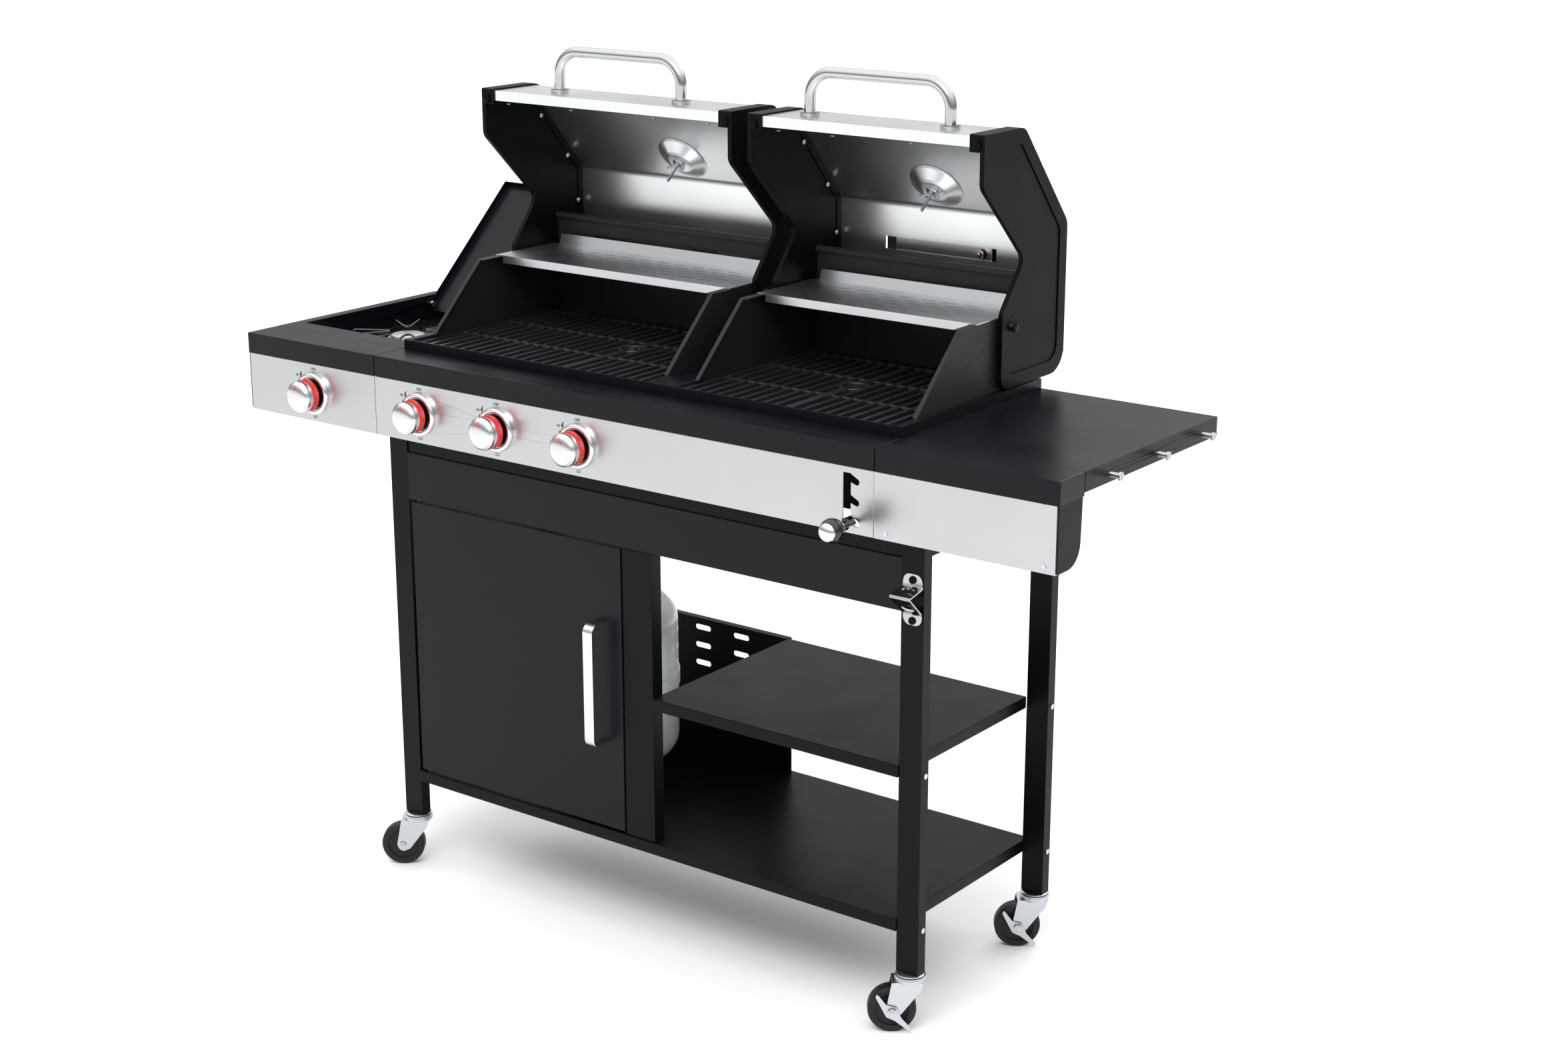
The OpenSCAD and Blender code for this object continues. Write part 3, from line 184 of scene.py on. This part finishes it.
LOOKS = {
    "legs": BLACK, "cart_rails": BLACK, "apron_panel": PANEL, "pillar_panel": BLACK,
    "bottom_shelf": BLACK, "mid_shelf": BLACK, "rear_panel": BLACK,
    "side_burner_top": PANEL, "front_trim": PANEL, "side_table_top": PANEL,
    "fascias": FASCIA, "side_brackets": BLACK, "tool_pegs": TOOL, "base_frame": PANEL,
    "firebox_gas": INNER, "firebox_charcoal": INNER, "grate_gas": IRON,
    "grate_charcoal": IRON, "rack_gas": RACK, "rack_charcoal": RACK,
    "burner_tubes": RACK, "heat_tents": RACK, "side_burner_head": ALLOY,
    "pot_support": GLOSS_AND_GAP_SHADE, "gas_manifold": ALLOY, "gas_cylinder": CYLINDER,
    "bottle_opener": TOOL, "knob_bezels": CHROME, "frame_screws": ZINC,
    "hinge_pins": ZINC, "caster_stems": ZINC, "hood_gas_ends": CASTING,
    "hood_gas_skin": SKIN, "hood_gas_handle": HANDLE, "hood_gas_thermometer": ZINC,
    "hood_charcoal_ends": CASTING, "hood_charcoal_skin": SKIN,
    "hood_charcoal_handle": HANDLE, "hood_charcoal_thermometer": ZINC,
    "vent_slider": RACK, "side_lid": PANEL, "door": PANEL, "door_handle": SATIN,
    "knob_side": RED, "knob_left": RED, "knob_middle": RED, "knob_right": RED,
    "charcoal_lever": GLOSS_AND_GAP_SHADE, "charcoal_tray": INNER, "grease_tray": RACK,
}
for place in ("front_left", "front_right", "rear_left", "rear_right"):
    LOOKS["fork_" + place] = ZINC
    LOOKS["wheel_" + place] = RUBBER
    LOOKS["brake_" + place] = ZINC

BEVELS = {"fascias": 0.8, "legs": 1.6, "front_trim": 1.4, "door": 1.6, "apron_panel": 1.2,
          "grate_gas": 1.3, "grate_charcoal": 1.3, "bottom_shelf": 1.5, "mid_shelf": 1.5,
          "side_table_top": 0.5, "side_burner_top": 1.2, "pillar_panel": 1.4,
          "hood_gas_ends": 1.4, "hood_charcoal_ends": 1.4, "base_frame": 0.9, "side_lid": 0.7,
          "bottle_opener": 0.5, "firebox_gas": 0.7, "firebox_charcoal": 0.7,
          "hood_gas_skin": 0, "hood_charcoal_skin": 0, "rack_gas": 0, "rack_charcoal": 0,
          "hood_gas_handle": 0, "hood_charcoal_handle": 0, "tool_pegs": 0, "gas_cylinder": 0}


def dress(o, material, bevel=0.5):
    """Material, small edge radius and clean normals on one CAD mesh."""
    o.data.materials.clear()
    o.data.materials.append(material)
    for poly in o.data.polygons:
        poly.use_smooth = True
    weld = o.modifiers.new("weld", "WELD")
    weld.merge_threshold = 1e-6
    if bevel == 0:
        split = o.modifiers.new("creases", "EDGE_SPLIT")
        split.split_angle = math.radians(32)
        return
    bv = o.modifiers.new("edge", "BEVEL")
    bv.width = bevel / 1000
    bv.segments = 2
    bv.limit_method = "ANGLE"
    bv.angle_limit = math.radians(34)
    bv.use_clamp_overlap = True
    wn = o.modifiers.new("normals", "WEIGHTED_NORMAL")
    wn.weight = 100
    wn.thresh = 0.01


for name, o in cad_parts.items():
    dress(o, LOOKS[name], BEVELS.get(name, 0.4))


# ---- builders ----
def mesh_object(name, bm, material, body, sharp=35):
    me = bpy.data.meshes.new(name)
    bm.normal_update()
    bm.to_mesh(me)
    bm.free()
    me.materials.append(material)
    for p in me.polygons:
        p.use_smooth = True
    me.set_sharp_from_angle(angle=math.radians(sharp))
    o = bpy.data.objects.new(name, me)
    bpy.context.scene.collection.objects.link(o)
    if body:
        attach(o, body)
    return o


def turn_to(direction):
    return Vector((0, 0, 1)).rotation_difference(Vector(direction)).to_matrix().to_4x4()


def lathe(name, profile, at, axis, material, body, segs=96, sharp=35, wave=None):
    """Solid of revolution: profile is (radius, height) in mm, from the axis out and back."""
    bm = bmesh.new()
    place = Matrix.Translation(at) @ turn_to(axis)
    rings = []
    for r, h in profile:
        if r < 1e-6:
            rings.append([bm.verts.new(place @ Vector((0, 0, h / 1000)))])
            continue
        ring = []
        for i in range(segs):
            a = 2 * math.pi * i / segs
            q = r * (wave(a, r, h) if wave else 1)
            ring.append(bm.verts.new(place @ (Vector((q * math.cos(a), q * math.sin(a), h)) / 1000)))
        rings.append(ring)
    for a, b in zip(rings, rings[1:]):
        for i in range(segs):
            j = (i + 1) % segs
            if len(a) == 1 and len(b) == 1:
                break
            if len(a) == 1:
                bm.faces.new((a[0], b[j], b[i]))
            elif len(b) == 1:
                bm.faces.new((a[i], a[j], b[0]))
            else:
                bm.faces.new((a[i], a[j], b[j], b[i]))
    bmesh.ops.recalc_face_normals(bm, faces=bm.faces)
    return mesh_object(name, bm, material, body, sharp)


def block(name, lo, hi, material, body, bevel=0.5, move=P):
    """Box between two corners in mm; move places each corner."""
    bm = bmesh.new()
    v = [bm.verts.new(move(x, y, z)) for x in (lo[0], hi[0]) for y in (lo[1], hi[1]) for z in (lo[2], hi[2])]
    for f in ((0, 1, 3, 2), (4, 6, 7, 5), (0, 4, 5, 1), (2, 3, 7, 6), (0, 2, 6, 4), (1, 5, 7, 3)):
        bm.faces.new([v[i] for i in f])
    bmesh.ops.recalc_face_normals(bm, faces=bm.faces)
    if bevel:
        bmesh.ops.bevel(bm, geom=bm.edges[:], offset=bevel / 1000, segments=2, profile=0.6, affect="EDGES")
    return mesh_object(name, bm, material, body)


def rod(name, a, b, r, material, body, segs=32):
    d = b - a
    n = d.length * 1000
    return lathe(name, [(0, 0), (r, 0), (r, n), (0, n)], a, d, material, body, segs)


def wire(name, points, r, material, body, cyclic=False):
    """Round bar through points, in metres."""
    cu = bpy.data.curves.new(name, "CURVE")
    cu.dimensions = "3D"
    cu.bevel_depth = r / 1000
    cu.bevel_resolution = 4
    cu.use_fill_caps = True
    sp = cu.splines.new("POLY")
    sp.points.add(len(points) - 1)
    for p, q in zip(sp.points, points):
        p.co = (*q, 1)
    sp.use_cyclic_u = cyclic
    o = bpy.data.objects.new(name, cu)
    bpy.context.scene.collection.objects.link(o)
    cu.materials.append(material)
    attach(o, body)
    return o


def rounded_edge(o, width, segments=2):
    bv = o.modifiers.new("edge", "BEVEL")
    bv.width = width / 1000
    bv.segments = segments
    bv.limit_method = "ANGLE"
    bv.use_clamp_overlap = True


def screw(name, at, axis, r, material, body, h=2.0):
    """Round-headed cross screw."""
    dome = [(r, 0)] + [(r * math.cos(t), h * math.sin(t)) for t in (0.3, 0.7, 1.1)] + [(0, h)]
    return lathe(name, [(0, 0)] + dome, at, axis, material, body, 24)


# ---- knobs and their rings ----
def knurl(a, r, h):
    return 1 + (0.018 * math.cos(48 * a) if 27.1 < r < 28 else 0)


GRIP = [(0, 9), (20, 9), (20, 14), (26, 14), (27.2, 15.2), (27.5, 17), (27.5, 27.4), (27, 28.4),
        (24, 29), (0, 29)]
for key, x in KNOB_X.items():
    at = P(x, 0, KNOB_Z)
    body = "knob_" + key
    front = (0, -1, 0)
    grip = lathe(body + "_band", GRIP, at, front, RED, body, 192, wave=knurl)
    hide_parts("knob_" + key)
    face = [(0, 28), (26.8, 28), (27.3, 28.8), (27.3, 37.5), (26.6, 39.2), (25.2, 40.2)]
    face += [(24.6 * math.cos(t), 40.4 + 6.7 * math.sin(t)) for t in (0.1, 0.25, 0.45, 0.7, 1.0, 1.3)]
    face.append((0, 47.1))
    lathe(body + "_face", face, at, front, SATIN, body, 96)
    bm = bmesh.new()
    tip = [(0, 20.5), (-3.6, 13.8), (3.6, 13.8)]
    lift = {20.5: 44.6, 13.8: 46.4}
    vs = [bm.verts.new(at + Vector((u / 1000, -lift[w] / 1000, w / 1000))) for u, w in tip]
    bm.faces.new(vs)
    pointer = mesh_object(body + "_pointer", bm, RED, body)
    so = pointer.modifiers.new("thick", "SOLIDIFY")
    so.thickness = 0.0012
    so.offset = 0

ring = [(26, 0), (37, 0), (37, 3)]
ring += [(32 + 5 * math.cos(t), 5 + 5 * math.sin(t)) for t in [i * math.pi / 12 for i in range(-2, 13)]]
ring += [(27, 3.4), (22, 2.2), (8, 2.2), (8, 0), (26, 0)]
for key, x in KNOB_X.items():
    o = lathe("bezel_" + key, ring, P(x, 0, KNOB_Z), (0, -1, 0), CHROME, "cart", 96)
    # black disc over the bezel's inner flat under the knob: painted shade for the gap between bezel and knob
    gap = [(8, 2.3), (26.6, 2.3), (26.6, 3.0), (8, 3.0), (8, 2.3)]
    lathe("bezel_gap_shade_" + key, gap, P(x, 0, KNOB_Z), (0, -1, 0), GLOSS_AND_GAP_SHADE, "cart", 64)
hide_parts("knob_bezels")


# ---- marks on the fascia ----
def mark(text, x, z, size, body="cart"):
    cu = bpy.data.curves.new("mark", "FONT")
    cu.body = text
    cu.size = size / 1000
    cu.align_x = "CENTER"
    cu.align_y = "CENTER"
    cu.extrude = 0.00015
    o = bpy.data.objects.new("mark_%s_%d" % (text, int(x)), cu)
    bpy.context.scene.collection.objects.link(o)
    o.location = P(x, -0.15, z)
    o.rotation_euler = (math.pi / 2, 0, 0)
    cu.materials.append(MARK_INK_AND_PORT_SHADE)
    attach(o, body)


def flat_shape(name, points, material, body):
    bm = bmesh.new()
    bm.faces.new([bm.verts.new(P(x, -0.25, z)) for x, z in points])
    o = mesh_object(name, bm, material, body)
    so = o.modifiers.new("thick", "SOLIDIFY")
    so.thickness = 0.0003
    return o


BOLT = ((1.2, 6.5), (-3.6, -0.8), (-0.6, -0.8), (-2.2, -6.5), (3.6, 1.4), (0.7, 1.4), (3.4, 6.5))
for key, x in KNOB_X.items():
    mark("OFF", x - 1, KNOB_Z + 42, 7)
    mark("HI", x - 42, KNOB_Z + 27, 6.5)
    mark("LO", x - 1, KNOB_Z - 42.5, 7)
    flat_shape("spark_" + key, [(x - 33 + u, KNOB_Z + 28 + w) for u, w in BOLT], MARK_INK_AND_PORT_SHADE, "cart")
    flat_shape("tri_" + key, [(x - 41, KNOB_Z + 15.5), (x - 35.5, KNOB_Z + 15.5), (x - 38, KNOB_Z + 20.5)],
               MARK_INK_AND_PORT_SHADE, "cart")

# ---- hoods: side flanges, screws, gauges ----
FRONT_FOOT = (69.0, 949.0)
SLOPE_FOOT = (69.0, 1065.0)
SLOPE_TOP = (231.0, 1202.0)
BACK_END = (437.0, 1202.0)
SLOPE = Vector((SLOPE_TOP[0] - SLOPE_FOOT[0], SLOPE_TOP[1] - SLOPE_FOOT[1]))
SLOPE_DIR = SLOPE.normalized()
SLOPE_OUT = Vector((-SLOPE_DIR.y, SLOPE_DIR.x))


def inset(points, d):
    """Open line of (y, z) points moved d to its right, with mitred corners."""
    out = []
    n = len(points)
    for i in range(n):
        p = Vector(points[i])
        a = (p - Vector(points[i - 1])).normalized() if i else None
        b = (Vector(points[i + 1]) - p).normalized() if i < n - 1 else None
        if a is None or b is None:
            u = a or b
            out.append(p + d * Vector((u.y, -u.x)))
        else:
            na, nb = Vector((a.y, -a.x)), Vector((b.y, -b.x))
            out.append(p + d * (na + nb) / (1 + na.dot(nb)))
    return [tuple(q) for q in out]


def band(name, x0, x1, outer, inner, material, body, move):
    """Flat strip between two lines in the y-z plane, from x0 to x1."""
    bm = bmesh.new()
    grid = [[bm.verts.new(move(x, y, z)) for y, z in line] for x in (x0, x1) for line in (outer, inner)]
    n = len(outer)
    for i in range(n - 1):
        bm.faces.new((grid[0][i], grid[0][i + 1], grid[1][i + 1], grid[1][i]))
        bm.faces.new((grid[2][i], grid[3][i], grid[3][i + 1], grid[2][i + 1]))
        bm.faces.new((grid[0][i], grid[2][i], grid[2][i + 1], grid[0][i + 1]))
        bm.faces.new((grid[1][i], grid[1][i + 1], grid[3][i + 1], grid[3][i]))
    for i in (0, n - 1):
        bm.faces.new((grid[0][i], grid[1][i], grid[3][i], grid[2][i]))
    bmesh.ops.recalc_face_normals(bm, faces=bm.faces)
    return mesh_object(name, bm, material, body)


def open_dir(x, y, z):
    """A direction on the closed hood, turned with the open hood."""
    return (x, z, -y)


LINE = [(88, 949.0), FRONT_FOOT, SLOPE_FOOT, SLOPE_TOP, BACK_END]
GAUGE_YZ = (189.65, 1162.5)
FLANGE_SCREWS = ((130, 1090), (208, 1158), (292, 1184))
# thermometer profiles: radius, and height over the hood's outside
GAUGE_RIM = [(0, -11.4), (21, -11.4), (22.2, -10), (22.2, -1), (21, 0.6), (19.6, 0.6), (18.8, -1.4),
             (0, -1.5)]
GAUGE_DIAL = [(0, -1.4), (18.7, -1.4), (18.7, -1.1), (0, -1.1)]
GAUGE_STEM = [(0, -8), (2.5, -8), (2.5, -56), (2.0, -57), (0, -57)]
GAUGE_NUT = [(2.5, -14.9), (11.5, -15.1), (11.5, -16), (9, -16.4), (7, -17.5), (6.5, -25), (2.5, -25)]
GAUGE_GLASS = [(0, 0.4), (18.9, 0.2), (18.9, -0.3), (0, -0.1)]
GAUGE_CUP = [(48, -1.55), (45.6, -1.9), (43, -3.2), (27, -12.7), (24, -14.3), (20, -14.9), (3, -15),
             (3, -14.6), (20, -14.6)]
for body, (h0, h1), skin_node in (("gas_hood", GAS, "gas"), ("charcoal_hood", COAL, "coal")):
    mid = (h0 + h1) / 2
    flange_line = LINE[1:]
    for s, x in ((1, h0 + 8.1), (-1, h1 - 8.1)):
        tag = "%s_%s" % (skin_node, "l" if s > 0 else "r")
        lo, hi = min(x, x + s * 1.5), max(x, x + s * 1.5)
        band("flange_" + tag, lo, hi, inset(flange_line, 4.6), inset(flange_line, 17), CASTING, body, opened)
        for i, (y, z) in enumerate(FLANGE_SCREWS):
            screw("flange_screw_%s_%d" % (tag, i), opened(x + s * 1.5, y, z), (s, 0, 0), 4.2, ZINC, body)
        lathe("cap_screw_" + tag, [(0, -1), (7.4, -1), (7.4, 2.2), (6.6, 4.2), (4.4, 5.4), (0, 5.8)],
              opened(h0 + 13 if s > 0 else h1 - 13, 87, 949), open_dir(0, 0, -1), CASTING, body, 40)
        bolt_x = h0 if s > 0 else h1
        lathe("bolt_cap_" + tag, [(0, 0), (8.4, 0), (8.4, 1.5), (7.2, 3.6), (4, 5), (0, 5.4)],
              P(bolt_x - s * 3.6, HINGE_Y, HINGE_Z), (-s, 0, 0), BLACK, "cart", 32)
    for i, x in enumerate((h0 + 60, h0 + 0.37 * (h1 - h0), h1 - 0.3 * (h1 - h0), h1 - 50)):
        name = "lip_screw_%s_%d" % (skin_node, i)
        screw(name, opened(x, 92, 952.2), open_dir(0, 1, 0), 3.4, ZINC, body, 2.6)
    # thermometer in its pressed cup, and the wing nut on its stem inside
    gy, gz = GAUGE_YZ
    at = opened(mid, gy, gz)
    out = open_dir(0, SLOPE_OUT.x, SLOPE_OUT.y)
    rim = lathe("gauge_rim_" + skin_node, GAUGE_RIM, at, out, CHROME, body, 72)
    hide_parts("hood_gas_thermometer" if body == "gas_hood" else "hood_charcoal_thermometer")
    lathe("gauge_dial_" + skin_node, GAUGE_DIAL, at, out, DIAL, body, 64)
    lathe("gauge_stem_" + skin_node, GAUGE_STEM, at, out, ZINC, body, 24)
    lathe("gauge_nut_" + skin_node, GAUGE_NUT, at, out, ZINC, body, 24)
    side = Vector((1, 0, 0))
    n = Vector(out).normalized()
    for s in (-1, 1):
        wing = [at + n * u + side * s * w for u, w in
                ((-0.015, 0.005), (-0.016, 0.011), (-0.021, 0.0165), (-0.028, 0.0185), (-0.031, 0.0165),
                 (-0.029, 0.0125), (-0.024, 0.009), (-0.023, 0.005))]
        bm = bmesh.new()
        bm.faces.new([bm.verts.new(p) for p in wing])
        w = mesh_object("gauge_wing_%s_%d" % (skin_node, s), bm, ZINC, body)
        so = w.modifiers.new("thick", "SOLIDIFY")
        so.thickness = 0.0026
        so.offset = 0
        rounded_edge(w, 0.7)
    needle = [at + n * -0.0008 + Vector((0.0008, 0, 0)), at + n * -0.0008 - Vector((0.0008, 0, 0))]
    up = n.cross(side).normalized()
    bm = bmesh.new()
    point = at + n * -0.0008 + (up * 0.6 - side * 0.8) * 0.014
    bm.faces.new([bm.verts.new(p) for p in (needle[0], point, needle[1])])
    w = mesh_object("gauge_needle_" + skin_node, bm, RED, body)
    w.modifiers.new("thick", "SOLIDIFY").thickness = 0.0003
    for i in range(21):
        a = math.radians(-135 + i * 13.5)
        d = up * -math.cos(a) + side * math.sin(a)
        c = d.cross(n) * 0.0004
        r0, r1 = (0.0135 if i % 5 == 0 else 0.0148), 0.0168
        bm = bmesh.new()
        corners = (d * r0 - c, d * r1 - c, d * r1 + c, d * r0 + c)
        bm.faces.new([bm.verts.new(at + n * -0.00095 + q) for q in corners])
        w = mesh_object("gauge_tick_%s_%d" % (skin_node, i), bm, MARK_INK_AND_PORT_SHADE, body)
        w.modifiers.new("thick", "SOLIDIFY").thickness = 0.0002
    lathe("gauge_cup_" + skin_node, GAUGE_CUP, at, out, SKIN, body, 128, sharp=60)
    lathe("gauge_glass_" + skin_node, GAUGE_GLASS, at, out, GLASS, body, 48)

# ---- charcoal lever: chromed face on the ball ----
LEVER_BALL = P(1306, -60, 808.6)
face = [(14.6, 11.5)]
face += [(14.6 * math.cos(t), 12.6 + 8.0 * math.sin(t)) for t in (0.1, 0.3, 0.55, 0.85, 1.15)]
face.append((0, 20.6))
lathe("lever_face", [(0, 11.5)] + face, LEVER_BALL, (0, -1, 0), CHROME, "charcoal_lift", 64)
collar = [(0, 17), (8.6, 17), (8.6, 21), (0, 21)]
lathe("lever_collar", collar, LEVER_BALL, (0, 1, 0), CHROME, "charcoal_lift", 48)

# ---- casters ----
WHEEL = [(4.1, -12), (10.5, -12), (11, -11.5), (11, -9), (24, -8), (26, -9), (26.6, -11.6),
         (34.5, -12), (37, -10.4), (38, -7.5), (38, 7.5), (37, 10.4), (34.5, 12), (26.6, 11.6), (26, 9),
         (24, 8), (11, 9), (11, 11.5), (10.5, 12), (4.1, 12), (4.1, -12)]
WHEEL_R = 38
TRAIL = 0.028
RACE = [(0, 94.4), (20.5, 94.4), (22.4, 95.4), (22.4, 96.4), (21, 97.4), (12, 97.6), (0, 97.6)]
CROWN = [(8, 84.6), (23.2, 84.4), (24.6, 86.5), (24.6, 91.5), (23.2, 93.6), (19.5, 94.0), (8, 94.0),
         (8, 84.6)]
AXLE_NUT = [(0, 0), (7, 0), (7, 2.6), (5.6, 3.6), (3.4, 3.8), (3.4, 6), (0, 6.4)]
LEG_MID = {"front_left": (347, 25), "front_right": (1399, 25),
           "rear_left": (347, 394), "rear_right": (1399, 394)}
BACKWARD = Vector((-math.cos(TURN), -math.sin(TURN), 0))
ACROSS = Vector((-math.sin(TURN), math.cos(TURN), 0))
for key, (x, y) in LEG_MID.items():
    axle = P(x, y, WHEEL_R) + BACKWARD * TRAIL
    w = lathe("tyre_" + key, WHEEL, axle, ACROSS, RUBBER, "roller_" + key, 96)
    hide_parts("wheel_" + key)
    lathe("race_" + key, RACE, P(x, y, 0), (0, 0, 1), ZINC, "cart", 64)
    lathe("crown_" + key, CROWN, P(x, y, 0), (0, 0, 1), ZINC, "caster_" + key, 72)
    near = 22.5 if key in ("front_right", "rear_right") else 17.6
    for s, reach in ((-1, near), (1, 17.6)):
        end = axle + ACROSS * s * reach / 1000
        sides = 6 if s > 0 else 32
        lathe("axle_nut_%s_%d" % (key, s), AXLE_NUT, end, ACROSS * s, ZINC, "caster_" + key, sides)

# ---- side burner ----
burner = (156, 238)
SUPPORT_Z = 908
cap = [(0, 880.3), (46, 880.3), (47, 882), (42, 885), (36, 886), (36, 889), (38, 890), (38, 895.5),
       (36, 897), (31, 898), (30, 901.5), (28, 902.5), (0, 903)]
head = lathe("burner_cap", cap, P(*burner, 0), (0, 0, 1), ALLOY, "cart", 96)
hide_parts("side_burner_head")
# dark rods on the burner ring: painted shade in place of the port holes
for i in range(36):
    a = 2 * math.pi * i / 36
    c, s = math.cos(a), math.sin(a)
    inner, outer = (P(burner[0] + r * c, burner[1] + r * s, 893) for r in (37.6, 38.6))
    rod("port_%d" % i, inner, outer, 1.2, MARK_INK_AND_PORT_SHADE, "cart", 8)


def around(r, deg, z):
    return P(burner[0] + r * math.cos(math.radians(deg)), burner[1] + r * math.sin(math.radians(deg)), z)


def soften(points, r=5.0, steps=5):
    """Rounds the inner corners of a line of points with radius r in mm."""
    out = [points[0]]
    for a, b, c in zip(points, points[1:], points[2:]):
        u, v = (a - b).normalized(), (c - b).normalized()
        half = math.acos(max(-1, min(1, u.dot(v)))) / 2
        cut = min(r / 1000 / max(math.tan(half), 0.05), (a - b).length * 0.45, (c - b).length * 0.45)
        p, q = b + u * cut, b + v * cut
        for k in range(steps + 1):
            t = k / steps
            out.append(p * (1 - t) ** 2 + b * 2 * t * (1 - t) + q * t * t)
    out.append(points[-1])
    return out


for k in range(4):
    mid_angle = 45 + 90 * k
    corners = ((100, -13, 881), (100, -13, SUPPORT_Z), (34, -8, SUPPORT_Z), (34, 8, SUPPORT_Z),
               (100, 13, SUPPORT_Z), (100, 13, 881))
    line = [around(r, mid_angle + turn, z) for r, turn, z in corners]
    wire("trivet_%d" % k, soften(line, 6), 2.3, GLOSS_AND_GAP_SHADE, "cart")
ring_pts = [around(86, a, 884) for a in range(0, 360, 6)]
wire("trivet_ring", ring_pts, 2.3, GLOSS_AND_GAP_SHADE, "cart", cyclic=True)
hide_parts("pot_support")

# ---- small fasteners ----
for i, x in enumerate((1365, 1494, 1623, 150, 300)):
    screw("trim_screw_%d" % i, P(x, -0.2, 888.6), (0, -1, 0), 1.6, ZINC, "cart", 1.2)

OPENER_SCREW = [(0, 0), (6, 0), (6, 1.6), (4.6, 3.6), (2.6, 4.2), (2.2, 2.6), (0, 2.6)]
for i, z in enumerate((733, 670)):
    lathe("opener_screw_%d" % i, OPENER_SCREW, P(1400, 12.8, z), (0, -1, 0), BLACK, "cart", 32)

# stud and knurled nut on the vent plate
STUD = (1182, 300.5)
stud = opened(*STUD, 1201)
lathe("vent_nut", [(0, 0), (8, 0), (8, 6), (6, 7), (0, 7)], stud, open_dir(0, 0, 1), BLACK, "vent_plate", 24)
stud = opened(*STUD, 1198.6)
inward = open_dir(0, 0, -1)
shank = [(0, 0), (7.5, 0), (7.5, 3), (4, 3.2), (4, 12), (0, 12)]
lathe("vent_stud", shank, stud, inward, BLACK, "vent_plate", 24)
tip = [(0, 11.8), (3.6, 11.8), (3.6, 16), (0, 16)]
lathe("vent_tip", tip, stud, inward, BRASS, "vent_plate", 24)


# rain cover over the vent, open at both ends
for tag, y0, y1, z0, z1 in (("top", 280, 321, 1214, 1215.5), ("low", 280, 281.5, 1205.4, 1214),
                            ("high", 319.5, 321, 1205.4, 1214)):
    block("vent_cover_" + tag, (985, y0, z0), (1217, y1, z1), BLACK, "charcoal_hood", 0.2, opened)

# ---- floor, light ----
bm = bmesh.new()
bmesh.ops.create_grid(bm, x_segments=1, y_segments=1, size=30)
floor = mesh_object("floor", bm, FLOOR, None)

world = bpy.data.worlds.new("studio")
bpy.context.scene.world = world
world.use_nodes = True
sky = world.node_tree
back = sky.nodes["Background"]
back.inputs["Color"].default_value = (1, 1, 1, 1)
way = sky.nodes.new("ShaderNodeTexCoord")
split = sky.nodes.new("ShaderNodeSeparateXYZ")
rise = sky.nodes.new("ShaderNodeMapRange")
rise.interpolation_type = "SMOOTHSTEP"
rise.inputs["From Min"].default_value = 0.05
rise.inputs["From Max"].default_value = 0.75
rise.inputs["To Min"].default_value = 0.35
rise.inputs["To Max"].default_value = 1.7
sky.links.new(way.outputs["Generated"], split.inputs["Vector"])
sky.links.new(split.outputs["Z"], rise.inputs["Value"])
sky.links.new(rise.outputs["Result"], back.inputs["Strength"])


def area(name, at, to, size, power):
    d = bpy.data.lights.new(name, "AREA")
    d.shape = "RECTANGLE"
    d.size, d.size_y = size
    d.energy = power
    o = bpy.data.objects.new(name, d)
    bpy.context.scene.collection.objects.link(o)
    o.location = at
    o.rotation_euler = (Vector(to) - Vector(at)).to_track_quat("-Z", "Y").to_euler()
    return o


area("key", (1.2, -3.2, 4.2), (0, 0, 0.8), (2.6, 2.0), 90)
area("back", (0.5, 3.5, 3.4), (0, 0, 1.0), (3.0, 1.4), 30)
view = bpy.context.scene.view_settings
view.view_transform = "Standard"
view.look = "None"

bpy.context.view_layer.update()
